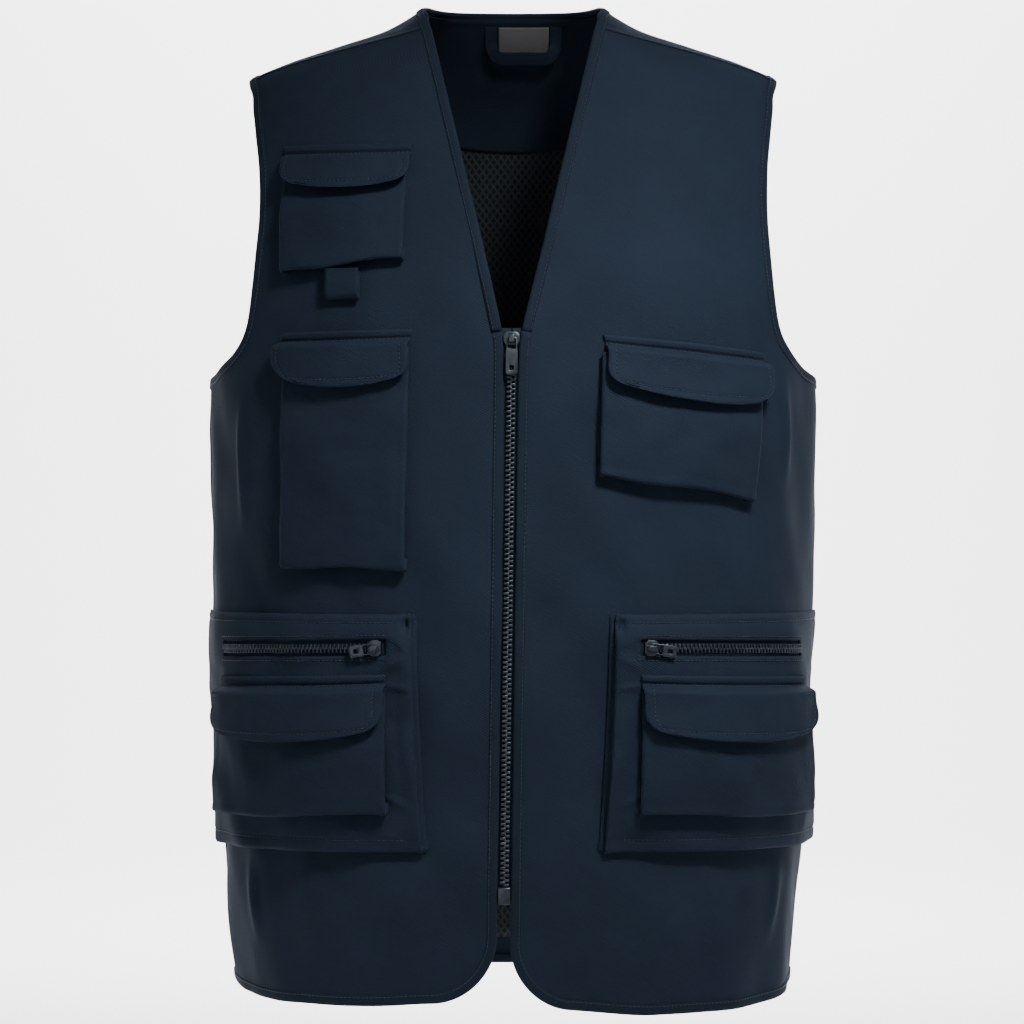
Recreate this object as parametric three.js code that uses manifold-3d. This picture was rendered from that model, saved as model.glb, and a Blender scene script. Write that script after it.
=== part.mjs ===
// A sleeveless utility work vest: zip front, V neck, back yoke, five flap pockets and two cargo pockets.
// Millimetres, +Z up. The origin lies between the shoulders, level with the neck points, and the front faces -Y.
// Right and left are the wearer's: the right side is -X. "Turn" is the angle round the body, in degrees,
// from 0 at the middle of the front through 90 at the left side to 180 at the middle of the back.
import * as THREE from "three";
import { mergeVertices } from "three/addons/utils/BufferGeometryUtils.js";
import Module from "manifold-3d";

const CLOTH = 1.5; // wall of one layer of twill with its seam allowance
const LINING = 1.3;
const NET = 1;
const NET_BACK = 2.3; // depth of the net's outer face behind the cloth's
const SEAT = 0.3; // gap between neighbouring pieces
const BINDING_WIDTH = 7.3;
const BINDING_PROUD = 0.6; // the binding stands proud of the cloth outside
const BINDING_BACK = 1.9; // and is this deep behind the cloth's face
const LINING_BACK = 1.8; // depth at which the lining layers begin

const BACK_NECK = 7; // height of the back neck edge
const YOKE_SEAM = -91; // height of the back yoke's lower seam
const UNDERARM = -270;
const HEM_CORNER_TOP = -662; // where the front edge starts to round into the hem
const BACK_HEM = -708;
const LINING_HEM = -688;

const ZIP_TOP = -241;
const ZIP_BOTTOM = -626;
const ZIP_LEAN = 0.0135; // the zip leans to the wearer's right as it goes down
const ZIP_OFFSET = -0.9; // where its top lies beside the middle
const ZIP_HALF_GAP = 4.9; // from the zip's line to the front edges
const CHAIN_WIDTH = 6.4;
const CHAIN_BACK = 1.8;
const CHAIN_PROUD = 0.7;
const TAPE_WIDTH = 13;
const TAPE_BACK = 2.2;
const TAPE_CLOTH = 1;
const V_BOTTOM = -246;
const V_SLOPE = 0.2364; // sideways run of the V neck for each millimetre up
const V_EASE = 8; // the V runs into the zip's edge on a curve of about this height

// The body's sections: half width, and depth of the front and of the back, at each height.
const SECTIONS = [
  { z: 9, width: 51, front: 44, back: 59 },
  { z: 3, width: 60, front: 45.5, back: 61 },
  { z: 0.5, width: 67, front: 47, back: 63 },
  { z: -5, width: 75, front: 50, back: 66 },
  { z: -16, width: 95, front: 56, back: 72 },
  { z: -28, width: 131, front: 64, back: 79 },
  { z: -40, width: 167, front: 71, back: 85 },
  { z: -51, width: 191, front: 77, back: 91 },
  { z: -60, width: 199, front: 81, back: 95 },
  { z: -80, width: 206.5, front: 88, back: 101 },
  { z: -150, width: 213, front: 109, back: 114 },
  { z: -235, width: 218.5, front: 127, back: 118 },
  { z: -300, width: 220, front: 131, back: 115 },
  { z: -440, width: 218.3, front: 130, back: 109 },
  { z: -520, width: 214.5, front: 127, back: 109 },
  { z: -612, width: 209.5, front: 124, back: 111 },
  { z: -720, width: 199.5, front: 119, back: 112 },
];
const SHOULDER_BULGE = 0.25; // squares the sections off between the middle and the sides

// Soft folds: a ridge down the cloth from one height to another.
const FOLDS = [
  { turn: -57, lean: 3, top: -275, bottom: -425, half: 11, height: 5 },
  { turn: 60, lean: -1, top: -262, bottom: -425, half: 10, height: 5 },
  { turn: -66, lean: -4, top: -618, bottom: -706, half: 14, height: 3.5 },
  { turn: 66, lean: 4, top: -618, bottom: -706, half: 14, height: 3.5 },
  { turn: -38, lean: 6, top: -625, bottom: -712, half: 20, height: 3 },
  { turn: 36, lean: 6, top: -625, bottom: -716, half: 20, height: 3 },
  { turn: 150, lean: 0, top: -300, bottom: -712, half: 36, height: 4 },
  { turn: 208, lean: 0, top: -320, bottom: -712, half: 36, height: 4 },
];

// The armhole's edge, from the shoulder tip to the underarm, on the front and on the back.
const ARMHOLE = [
  { z: -51, front: 90, back: 90 },
  { z: -53, front: 82, back: 98 },
  { z: -57, front: 75, back: 106 },
  { z: -66, front: 68, back: 112.5 },
  { z: -79, front: 64.5, back: 115.5 },
  { z: -98, front: 61.7, back: 117.5 },
  { z: -121, front: 59.2, back: 119.2 },
  { z: -150, front: 57.9, back: 120.2 },
  { z: -179, front: 57.8, back: 120.6 },
  { z: -208, front: 58.3, back: 119.8 },
  { z: -234, front: 60, back: 117.5 },
  { z: -249, front: 63.6, back: 114 },
  { z: -259, front: 69.5, back: 108.5 },
  { z: -266, front: 77.5, back: 101 },
  { z: UNDERARM, front: 90, back: 90 },
];

// The neck's edge from the shoulder to the middle of the back; in front of it the V runs straight.
const NECK_FRONT = -18; // height at which the V's straight edge ends
const NECK = [
  { turn: 45.3, z: -11.5 },
  { turn: 53, z: -6.2 },
  { turn: 68, z: -1.2 },
  { turn: 90, z: 2.6 },
  { turn: 120, z: 5 },
  { turn: 150, z: 6.6 },
  { turn: 180, z: BACK_NECK },
];

// The front hem's height at each turn, on the wearer's right and left.
const HEM = [
  { turn: 0, right: -706, left: -709 },
  { turn: 18, right: -708, left: -714 },
  { turn: 30, right: -710.5, left: -717 },
  { turn: 50, right: -710.5, left: -716 },
  { turn: 70, right: -709, left: -712 },
  { turn: 90, right: -703, left: -704 },
];
const HEM_RADIUS = { right: 46, left: 42 };

const group = new THREE.Group();

const twill = new THREE.MeshStandardMaterial({ color: 0x1f2d3f, roughness: 0.85, metalness: 0 });
const tape = new THREE.MeshStandardMaterial({ color: 0x1a2634, roughness: 0.8, metalness: 0 });
const net = new THREE.MeshStandardMaterial({ color: 0x0c0f13, roughness: 0.9, metalness: 0 });
const labelCloth = new THREE.MeshStandardMaterial({ color: 0x4d4d50, roughness: 0.7, metalness: 0 });
const zipMetal = new THREE.MeshStandardMaterial({ color: 0x596068, roughness: 0.4, metalness: 0.9 });

const lerp = THREE.MathUtils.lerp;
const clamp = THREE.MathUtils.clamp;
const radians = THREE.MathUtils.degToRad;
const degrees = THREE.MathUtils.radToDeg;

// A column of a table at a place between its rows, on a smooth curve that doesn't overshoot.
function column(table, key, at, by) {
  const up = table[0][by] < table[table.length - 1][by];
  const rows = up ? table : [...table].reverse();
  const last = rows.length - 1;
  const t = clamp(at, rows[0][by], rows[last][by]);
  let i = 0;
  while (i < last - 1 && t > rows[i + 1][by]) i += 1;
  const run = (k) => rows[k + 1][by] - rows[k][by];
  const rise = (k) => (rows[k + 1][key] - rows[k][key]) / run(k);
  const tangent = (k) => {
    if (k === 0) return rise(0);
    if (k === last) return rise(last - 1);
    const before = rise(k - 1);
    const after = rise(k);
    return before * after <= 0 ? 0 : (2 * before * after) / (before + after);
  };
  const f = (t - rows[i][by]) / run(i);
  const slopes = run(i) * f * (1 - f) * ((1 - f) * tangent(i) - f * tangent(i + 1));
  return lerp(rows[i][key], rows[i + 1][key], f * f * (3 - 2 * f)) + slopes;
}

const halfWidth = (z) => column(SECTIONS, "width", z, "z");

// How far the folds lift the cloth at a place.
function foldHeight(turn, z) {
  let height = 0;
  for (const fold of FOLDS) {
    const down = clamp((fold.top - z) / (fold.top - fold.bottom), 0, 1);
    const off = (radians(turn - fold.turn + fold.lean * down) * halfWidth(z)) / fold.half;
    height += fold.height * Math.sin(Math.PI * Math.min(1, down * 1.4)) ** 2 * Math.exp(-off * off);
  }
  return height;
}

// A place on the body's smooth section, before folds.
function section(turn, z) {
  const a = radians(turn);
  const depth = column(SECTIONS, Math.cos(a) >= 0 ? "front" : "back", z, "z");
  const bulge = 1 + SHOULDER_BULGE * Math.sin(a) ** 2;
  return new THREE.Vector3(halfWidth(z) * Math.sin(a), -depth * Math.cos(a) * bulge, z);
}

// The directions round, up and out of the body at a place. Round is as long as one degree there, up as one millimetre.
function frameAt(turn, z) {
  const round = section(turn + 0.5, z).sub(section(turn - 0.5, z));
  const up = section(turn, z + 0.5).sub(section(turn, z - 0.5));
  return { round, up, out: new THREE.Vector3().crossVectors(round, up).normalize() };
}

// A point at a turn and height, this far out of the body's outer face.
function onBody([turn, z], out) {
  const lift = out + foldHeight(turn, z);
  return section(turn, z).addScaledVector(frameAt(turn, z).out, lift);
}

// The place reached from a place by going round and up the body by real distances.
function move([turn, z], round, up) {
  const here = frameAt(turn, z);
  return [turn + round / here.round.length(), z + up / here.up.length()];
}

// The turn at which the front lies a distance beside the middle.
const turnAt = (x, z) => degrees(Math.asin(clamp(x / halfWidth(z), -1, 1)));

// The place beside a path, at a distance from it on the body: on its left where the distance is positive.
function beside(path, t, distance) {
  const [turn, z] = path(t);
  const before = path(Math.max(0, t - 0.002));
  const after = path(Math.min(1, t + 0.002));
  const here = frameAt(turn, z);
  const along = here.round
    .clone()
    .multiplyScalar(after[0] - before[0])
    .addScaledVector(here.up, after[1] - before[1])
    .normalize();
  const side = new THREE.Vector3().crossVectors(here.out, along).multiplyScalar(distance);
  const rr = here.round.lengthSq();
  const uu = here.up.lengthSq();
  const ru = here.round.dot(here.up);
  const sr = side.dot(here.round);
  const su = side.dot(here.up);
  const det = rr * uu - ru * ru;
  return [turn + (sr * uu - su * ru) / det, z + (su * rr - sr * ru) / det];
}

const evenly = (count) => Array.from({ length: count + 1 }, (_, i) => i / count);
const spread = (from, to, count) => evenly(count).map((t) => lerp(from, to, t));
const ease = (t) => t * t * (3 - 2 * t);

// A mesh from a closed geometry whose faces are turned outwards.
function closed(name, geometry, material) {
  geometry.deleteAttribute("normal");
  geometry.deleteAttribute("uv");
  const solid = mergeVertices(geometry, 1e-4);
  const corner = [0, 1, 2].map(() => new THREE.Vector3());
  let volume = 0;
  for (let i = 0; i < solid.index.count; i += 3) {
    corner.forEach((c, k) => c.fromBufferAttribute(solid.attributes.position, solid.index.getX(i + k)));
    volume += corner[0].dot(corner[1].cross(corner[2]));
  }
  if (volume < 0) solid.index.array.reverse();
  solid.computeVertexNormals();
  const mesh = new THREE.Mesh(solid, material);
  mesh.name = name;
  group.add(mesh);
  return mesh;
}

// A block of cells bent into shape: at(i, j, w) is the point of column i and row j on face w, 0 inside and 1 outside.
function bent(columns, rows, at) {
  const geometry = new THREE.BoxGeometry(1, 1, 1, columns, rows, 1);
  const position = geometry.attributes.position;
  for (let k = 0; k < position.count; k += 1) {
    const i = Math.round((position.getX(k) + 0.5) * columns);
    const j = Math.round((0.5 - position.getY(k)) * rows);
    const w = Math.round(position.getZ(k) + 0.5);
    const p = at(i, j, w);
    position.setXYZ(k, p.x, p.y, p.z);
  }
  return geometry;
}

// A sheet of cloth on the body. place(u, v) gives its turn and height, inner and outer its faces' distances out.
function sheet(name, material, us, vs, place, inner, outer) {
  const reach = (value, u, v) => (typeof value === "function" ? value(u, v) : value);
  const at = (i, j, w) => {
    const [u, v] = [us[i], vs[j]];
    return onBody(place(u, v), reach(w ? outer : inner, u, v));
  };
  return closed(name, bent(us.length - 1, vs.length - 1, at), material);
}

// A strip of folded tape that runs along an edge of the cloth, inside of it.
function binding(name, path, us, side) {
  const place = (u, v) => beside(path, u, side * v * BINDING_WIDTH);
  return sheet(name, tape, us, [0, 1], place, -BINDING_BACK, BINDING_PROUD);
}

const PANEL_INSET = BINDING_WIDTH + 0.5; // from an edge to the cloth inside its binding
const SEAM_TURN = 90 - degrees(SEAT / 2 / halfWidth(UNDERARM)); // half the gap at the side seam before it
const FRONT = [
  { name: "right", side: -1 },
  { name: "left", side: 1 },
];

const zipLine = (z) => Math.min(0, ZIP_OFFSET + (z - ZIP_TOP) * ZIP_LEAN);

// The front edge's distance beside the middle at a height: the V neck above, the zip's edge below.
function frontEdgeX(side, z) {
  const above = z - V_BOTTOM;
  const up = (above + Math.hypot(above, V_EASE)) / 2;
  return zipLine(z) + side * (ZIP_HALF_GAP + V_SLOPE * up);
}

// The front edge from the front of the shoulder to the start of the hem's corner.
const frontEdge = (side) => (t) => {
  const z = lerp(NECK_FRONT, HEM_CORNER_TOP, t);
  return [turnAt(frontEdgeX(side, z), z), z];
};

// The front hem's height, with its rounded corner, a distance inside of the edge.
function hemHeight(side, turn, inset) {
  const key = side < 0 ? "right" : "left";
  const radius = HEM_RADIUS[key];
  const x = halfWidth(HEM_CORNER_TOP) * Math.sin(radians(turn));
  const past = side * (x - frontEdgeX(side, HEM_CORNER_TOP)) - radius;
  const inner = radius - inset;
  const round = past < 0 ? inner - Math.sqrt(Math.max(0, inner * inner - past * past)) : 0;
  return column(HEM, key, Math.abs(turn), "turn") + inset + round;
}

// Front panels. A row runs from the neck or zip edge to the armhole or the side seam.
const PANEL_COLUMNS = [0, 0.012, 0.035, 0.075, 0.12, 0.175, 0.3, 0.44, 0.57, 0.63, 0.69, 0.76, 0.87, 1];
const PANEL_ROWS = [
  { edge: -18, arm: 0.13 },
  { edge: -30, arm: 0.2 },
  { edge: -45, arm: 0.26 },
  { edge: -65, arm: 0.33 },
  { edge: -90, arm: 0.41 },
  { edge: -118, arm: 0.5 },
  { edge: -148, arm: 0.6 },
  { edge: -180, arm: 0.7 },
  { edge: -208, arm: 0.79 },
  { edge: -233, arm: 0.87 },
  { edge: -254, arm: 0.93 },
  { edge: -270, arm: 0.97 },
  { edge: -279, arm: 1 },
];
const SIDE_ROWS = [-305, -335, -365, -395, -430, -500, -575, -620];
const HEM_ROWS = 4;

// The armhole's edge from the shoulder tip (0) to the underarm (1), spaced by length.
function armholePath(side, key) {
  const points = ARMHOLE.map((row) => new THREE.Vector2(side * row[key] * 3, row.z));
  const curve = new THREE.SplineCurve(points);
  return (t) => {
    const p = curve.getPointAt(clamp(t, 0, 1));
    return [p.x / 3, p.y];
  };
}

function frontPanel({ name, side }) {
  const edge = frontEdge(side);
  const arm = armholePath(side, "front");
  const edgeShare = (z) => clamp((NECK_FRONT - z) / (NECK_FRONT - HEM_CORNER_TOP), 0, 1);
  const edgeTurn = (z) => beside(edge, edgeShare(z), side * PANEL_INSET);
  const place = (u, j) => {
    if (j < PANEL_ROWS.length) {
      const row = PANEL_ROWS[j];
      const from = edgeTurn(row.edge);
      const to = beside(arm, row.arm, -side * PANEL_INSET);
      if (row.arm === 1) to[0] = side * SEAM_TURN;
      return [lerp(from[0], to[0], u), lerp(from[1], to[1], u)];
    }
    const k = j - PANEL_ROWS.length;
    const z = SIDE_ROWS[Math.min(k, SIDE_ROWS.length - 1)];
    const share = Math.max(0, k - SIDE_ROWS.length + 1) / HEM_ROWS;
    const turn = lerp(edgeTurn(share > 0 ? HEM_CORNER_TOP : z)[0], side * SEAM_TURN, u);
    return [turn, lerp(z, hemHeight(side, turn, PANEL_INSET), share)];
  };
  const rows = PANEL_ROWS.length + SIDE_ROWS.length + HEM_ROWS;
  const point = (i, j, w) => onBody(place(PANEL_COLUMNS[i], j), w ? 0 : -CLOTH);
  closed(name + "_front", bent(PANEL_COLUMNS.length - 1, rows - 1, point), twill);
}
FRONT.forEach(frontPanel);

// The neck's edge from the left shoulder's front, round the back, to the right shoulder's front.
const neckRows = [{ turn: turnAt(frontEdgeX(1, NECK_FRONT), NECK_FRONT), z: NECK_FRONT }, ...NECK];
const neckCurve = new THREE.SplineCurve([
  ...neckRows.map((row) => new THREE.Vector2(row.turn, row.z)),
  ...neckRows.slice(0, -1).reverse().map((row) => new THREE.Vector2(360 - row.turn, row.z)),
]);
const neckRound = (t) => neckCurve.getPointAt(clamp(t, 0, 1)).toArray();

// The yoke's columns on its left half: a share of the neck's edge, and where the column meets the outer edge,
// by its share of the front or back armhole or by its turn on the back seam.
const YOKE_COLUMNS = [
  { neck: 0.004, arm: "front", at: 0.127 },
  { neck: 0.05, arm: "front", at: 0.06 },
  { neck: 0.1, arm: "back", at: 0.001 },
  { neck: 0.16, arm: "back", at: 0.07 },
  { neck: 0.21, arm: "back", at: 0.14 },
  { neck: 0.26, arm: "back", at: 0.21 },
  { neck: 0.31, arm: "back", at: 0.28 },
  { neck: 0.35, arm: "back", at: 0.338 },
  { neck: 0.39, turn: 134 },
  { neck: 0.43, turn: 149 },
  { neck: 0.465, turn: 164 },
  { neck: 0.5, turn: 180 },
];
const YOKE_CORNER = 7; // the column that ends where the armhole meets the seam
const YOKE_BOTTOM = YOKE_SEAM + SEAT / 2;
const YOKE_DOWN = [0, 0.14, 0.3, 0.46, 0.62, 0.8, 1];

// One layer of the yoke, from its first column on the left to the same one on the right.
// Layers that lie together meet in the same face of their cells, so that their cells are halved alike.
function yokeLayer(name, material, first, near, far) {
  const columns = YOKE_COLUMNS.length - 1;
  const place = (i, v) => {
    const k = Math.min(i, 2 * columns - i);
    const row = YOKE_COLUMNS[k];
    const from = beside(neckRound, row.neck, -PANEL_INSET);
    let to = [row.turn, YOKE_BOTTOM];
    if (row.arm) to = beside(armholePath(1, row.arm), row.at, row.arm === "front" ? -PANEL_INSET : PANEL_INSET);
    if (k === YOKE_CORNER) to[1] = YOKE_BOTTOM;
    const turn = lerp(from[0], to[0], v);
    return [i === k ? turn : 360 - turn, lerp(from[1], to[1], v)];
  };
  const count = 2 * (columns - first);
  const point = (i, j, w) => onBody(place(i + first, YOKE_DOWN[j]), w ? far : near);
  closed(name, bent(count, YOKE_DOWN.length - 1, point), material);
}
yokeLayer("back_yoke", twill, 0, -CLOTH, 0);
yokeLayer("yoke_lining", twill, 2, -LINING_BACK, -LINING_BACK - LINING);

// A layer of the back below the yoke, from side seam to side seam, with its top edge under a seam.
const BACK_ROWS = [0.344, 0.42, 0.5, 0.6, 0.7, 0.79, 0.87, 0.93, 0.97, 1];
const BACK_COLUMNS = 12;
const BACK_LOWER_ROWS = [-320, -380, -450, -530, -620];
function backLayer(name, material, hem, near, far) {
  const arm = armholePath(1, "back");
  const place = (u, j) => {
    if (j < BACK_ROWS.length) {
      const [turn, z] = beside(arm, BACK_ROWS[j], PANEL_INSET);
      const from = BACK_ROWS[j] === 1 ? 180 - SEAM_TURN : turn;
      const across = lerp(from, 360 - from, u);
      return [across, j === 0 ? YOKE_SEAM - SEAT / 2 : z];
    }
    const z = BACK_LOWER_ROWS[j - BACK_ROWS.length];
    const across = lerp(180 - SEAM_TURN, 180 + SEAM_TURN, u);
    return [across, z === undefined ? hem(across) : z];
  };
  const rows = BACK_ROWS.length + BACK_LOWER_ROWS.length;
  const point = (i, j, w) => onBody(place(i / BACK_COLUMNS, j), w ? far : near);
  closed(name, bent(BACK_COLUMNS, rows, point), material);
}
const backHem = (turn) => BACK_HEM + 4 * ((turn - 180) / 90) ** 2;
backLayer("back_panel", twill, (turn) => backHem(turn) + PANEL_INSET, -CLOTH, 0);
backLayer("mesh_lining", net, () => LINING_HEM, -NET_BACK, -NET_BACK - NET);

// Bindings round the neck, the armholes and the hems.
const NECK_JOIN = -239; // where the neck's binding meets those of the zip's edges
const NECK_SHARES = [0.3, 0.7];
function neckPath(t) {
  const onEdge = (side, share) => {
    const z = lerp(NECK_JOIN, NECK_FRONT, share);
    return [turnAt(frontEdgeX(side, z), z), z];
  };
  const [a, b] = NECK_SHARES;
  if (t < a) return onEdge(1, t / a);
  if (t <= b) return neckRound((t - a) / (b - a));
  const [turn, z] = onEdge(-1, (1 - t) / (1 - b));
  return [turn + 360, z];
}
const yokeNeck = YOKE_COLUMNS.map((row) => row.neck);
const yokeRound = [...yokeNeck.slice(1), ...yokeNeck.slice(1, -1).reverse().map((t) => 1 - t)];
const neckSteps = [
  ...spread(0, NECK_SHARES[0], 7),
  ...yokeRound.map((t) => lerp(...NECK_SHARES, t)),
  ...spread(NECK_SHARES[1], 1, 7),
];
binding("neck_binding", neckPath, neckSteps, -1);

const JOIN_SHARE = 0.0006; // half the gap at the binding's join under the arm
function armholeBinding({ name, side }) {
  const front = armholePath(side, "front");
  const back = armholePath(side, "back");
  const path = (t) => (t < 0.5 ? front(1 - 2 * t) : back(2 * t - 1));
  const armAt = (key) => YOKE_COLUMNS.filter((row) => row.arm === key).map((row) => row.at);
  const frontSteps = [...armAt("front").reverse(), ...PANEL_ROWS.slice(1).map((row) => row.arm)];
  const backSteps = [...armAt("back"), ...BACK_ROWS.slice(1)];
  const steps = [
    ...frontSteps.map((s) => 0.5 - s / 2).reverse(),
    ...backSteps.map((s) => 0.5 + s / 2),
  ];
  steps[0] += JOIN_SHARE;
  steps[steps.length - 1] -= JOIN_SHARE;
  binding(name + "_armhole_binding", path, steps, side);
}
FRONT.forEach(armholeBinding);

// The zip's edge, the hem's corner and the front hem, as one path down to the side seam.
const CORNER_SHARES = [0.4, 0.56];
function frontHemPath(side) {
  const key = side < 0 ? "right" : "left";
  const radius = HEM_RADIUS[key];
  const hemAt = (turn) => column(HEM, key, Math.abs(turn), "turn");
  const [a, b] = CORNER_SHARES;
  const cornerTop = hemAt(4) + radius;
  return (t) => {
    if (t < a) {
      const z = lerp(NECK_JOIN - SEAT, cornerTop, t / a);
      return [turnAt(frontEdgeX(side, z), z), z];
    }
    const angle = (Math.PI / 2) * Math.min(1, (t - a) / (b - a));
    const x = frontEdgeX(side, cornerTop) + side * radius * (1 - Math.cos(angle));
    const cornerTurn = turnAt(x, cornerTop);
    const turn = t <= b ? cornerTurn : lerp(cornerTurn, side * SEAM_TURN, (t - b) / (1 - b));
    return [turn, hemAt(turn) + radius * (1 - Math.sin(angle))];
  };
}
const EDGE_STEPS = [-246, -254, -270, -300, -345, -390, -440, -490, -550, -610];
const frontSteps = [
  0,
  ...EDGE_STEPS.map((z) => (CORNER_SHARES[0] * (NECK_JOIN - z)) / (NECK_JOIN - HEM_CORNER_TOP)),
  ...spread(CORNER_SHARES[0], CORNER_SHARES[1], 9),
  ...spread(CORNER_SHARES[1], 1, 12).slice(1),
];
for (const { name, side } of FRONT) binding(name + "_front_binding", frontHemPath(side), frontSteps, side);
const backHemPath = (t) => {
  const turn = lerp(180 - SEAM_TURN, 180 + SEAM_TURN, t);
  return [turn, backHem(turn)];
};
binding("back_hem_binding", backHemPath, evenly(BACK_COLUMNS), 1);

// The zip: two tapes behind the front edges, the closed chain and its bottom box.
const zipPlace = (x, z) => [turnAt(zipLine(z) + x, z), z];
const TAPE_TOP = ZIP_TOP + 4;
const TAPE_BOTTOM = ZIP_BOTTOM - 12;
for (const { name, side } of FRONT) {
  const place = (u, v) => zipPlace(side * lerp(SEAT, TAPE_WIDTH, v), lerp(TAPE_TOP, TAPE_BOTTOM, u));
  sheet(name + "_zip_tape", tape, evenly(12), [0, 1], place, -TAPE_BACK - TAPE_CLOTH, -TAPE_BACK);
}
const CHAIN_TOP = ZIP_TOP - 9;
const chainPlace = (u, v) => zipPlace(lerp(-0.5, 0.5, v) * CHAIN_WIDTH, lerp(CHAIN_TOP, ZIP_BOTTOM, u));
sheet("front_zip_chain", zipMetal, evenly(14), [0, 1], chainPlace, -CHAIN_BACK, CHAIN_PROUD);
const BOX_WIDTH = 8.6;
const BOX_PROUD = 1.9;
const boxPlace = (u, v) => zipPlace(lerp(-0.5, 0.5, v) * BOX_WIDTH, lerp(ZIP_BOTTOM - SEAT, TAPE_BOTTOM, u));
sheet("front_zip_box", zipMetal, [0, 1], evenly(2), boxPlace, -CHAIN_BACK, BOX_PROUD);

// A manifold solid of a geometry, for joins and cuts, and back.
const wasm = await Module();
wasm.setup();
function toManifold(geometry) {
  const bare = geometry.clone();
  bare.deleteAttribute("normal");
  bare.deleteAttribute("uv");
  const merged = mergeVertices(bare, 1e-4);
  const vertProperties = merged.attributes.position.array;
  const triVerts = new Uint32Array(merged.index.array);
  const made = new wasm.Manifold(new wasm.Mesh({ numProp: 3, vertProperties, triVerts }));
  if (made.volume() > 0) return made;
  return new wasm.Manifold(new wasm.Mesh({ numProp: 3, vertProperties, triVerts: triVerts.reverse() }));
}
function fromManifold(solid) {
  const { vertProperties, triVerts } = solid.getMesh();
  const geometry = new THREE.BufferGeometry();
  geometry.setAttribute("position", new THREE.BufferAttribute(vertProperties, 3));
  geometry.setIndex(new THREE.BufferAttribute(triVerts, 1));
  return geometry;
}

// A flat plate with holes, from their outlines' corners, extruded along +Z from a level.
function plate(corners, holes, level, thick) {
  const points = (outline) => outline.map(([x, y]) => new THREE.Vector2(x, y));
  const shape = new THREE.Shape(points(corners));
  for (const hole of holes) shape.holes.push(new THREE.Path(points(hole)));
  return new THREE.ExtrudeGeometry(shape, { depth: thick, bevelEnabled: false }).translate(0, 0, level);
}
const rectangle = (x0, x1, y0, y1) => [[x0, y0], [x1, y0], [x1, y1], [x0, y1]];
const mirroredAcross = (side) => [...side, ...side.map(([x, y]) => [x, -y]).reverse()];

// A slider lies with its length along its own X, towards the closed chain, and its outer side up its Z.
// Its pull hangs by a bar under the slider's bridge, and swings about that bar.
const SLIDER = { half: 4.8, width: 11.4, base: -1.8, waist: 8.8, step: 1, top: 2.4, nose: 2.2, taper: 3.3, tail: 1.6 };
const BRIDGE = { width: 3.8, tunnel: 2.2, leg: 1.2, rise: 2.6, roof: 1, corner: 0.9 };
const PULL = { thick: 1.6, bar: 0.8, barWidth: 7.4, width: 8.4, eye: 5.8, eyeEnd: 7.4, shoulder: 1.5, corner: 1 };
const PULL_HOLE = { half: 1.5, from: 6.5, to: 3 }; // a square hole, this far from the pull's end
const SUNK = 0.2; // blocks sink this far into each other before they are joined
const PIVOT = SLIDER.top + BRIDGE.rise / 2; // the bar's height over the cloth's face

function sliderGeometry() {
  const { half, base, step, top, nose, taper, tail } = SLIDER;
  const wide = SLIDER.width / 2;
  const waist = SLIDER.waist / 2;
  const lower = plate(rectangle(-half, half, -waist, waist), [], base, step - base + SUNK);
  const edge = [[-half, nose - wide], [nose - half, -wide], [half - taper, -wide], [half, tail - wide]];
  const upper = plate(mirroredAcross(edge), [], step, top - step);
  const reach = BRIDGE.tunnel + BRIDGE.leg;
  const height = BRIDGE.rise + BRIDGE.roof;
  const arch = [
    [-reach, -SUNK],
    [-reach, height - BRIDGE.corner],
    [BRIDGE.corner - reach, height],
    [reach - BRIDGE.corner, height],
    [reach, height - BRIDGE.corner],
    [reach, -SUNK],
  ];
  const tunnel = rectangle(-BRIDGE.tunnel, BRIDGE.tunnel, 0, BRIDGE.rise);
  const bridge = plate(arch, [tunnel], -BRIDGE.width / 2, BRIDGE.width).rotateX(Math.PI / 2);
  bridge.translate(0, 0, top);
  return fromManifold(toManifold(lower).add(toManifold(upper)).add(toManifold(bridge)));
}

function pullGeometry(length) {
  const { thick, bar, barWidth, width, eye, eyeEnd, shoulder, corner } = PULL;
  const edge = [
    [-bar, -barWidth / 2],
    [eyeEnd, -barWidth / 2],
    [eyeEnd + shoulder, -width / 2],
    [length - corner, -width / 2],
    [length, corner - width / 2],
  ];
  const window = rectangle(bar, eyeEnd, -eye / 2, eye / 2);
  const hole = rectangle(length - PULL_HOLE.from, length - PULL_HOLE.to, -PULL_HOLE.half, PULL_HOLE.half);
  return plate(mirroredAcross(edge), [window, hole], -thick / 2, thick);
}

// Places a slider and its pull on the body, its length along a direction round and up the cloth, the pull tilted.
function placeZipHardware(name, place, out, [round, up], tilt, pullLength) {
  const here = frameAt(...place);
  const x = here.round.clone().setLength(1).multiplyScalar(round);
  x.addScaledVector(here.up.clone().normalize(), up).normalize();
  const basis = new THREE.Matrix4().makeBasis(x, new THREE.Vector3().crossVectors(here.out, x), here.out);
  const slider = closed(name + "_zip_slider", sliderGeometry(), zipMetal);
  slider.applyMatrix4(basis);
  slider.position.copy(onBody(place, out));
  const pull = closed(name + "_zip_pull", pullGeometry(pullLength), zipMetal);
  pull.applyMatrix4(new THREE.Matrix4().makeRotationZ(tilt).premultiply(basis));
  pull.position.copy(onBody(place, out)).addScaledVector(here.out, PIVOT);
}
const FRONT_SLIDER = ZIP_TOP - 3.8; // height of the slider's middle
const FRONT_PULL = 25.5; // length
placeZipHardware("front", zipPlace(0, FRONT_SLIDER), 0, [0, -1], 0, FRONT_PULL);

// Pouches and flaps of the pockets.
const POUCH_FOOT = 0.7; // a pouch's foot over the cloth it is sewn on

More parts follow.
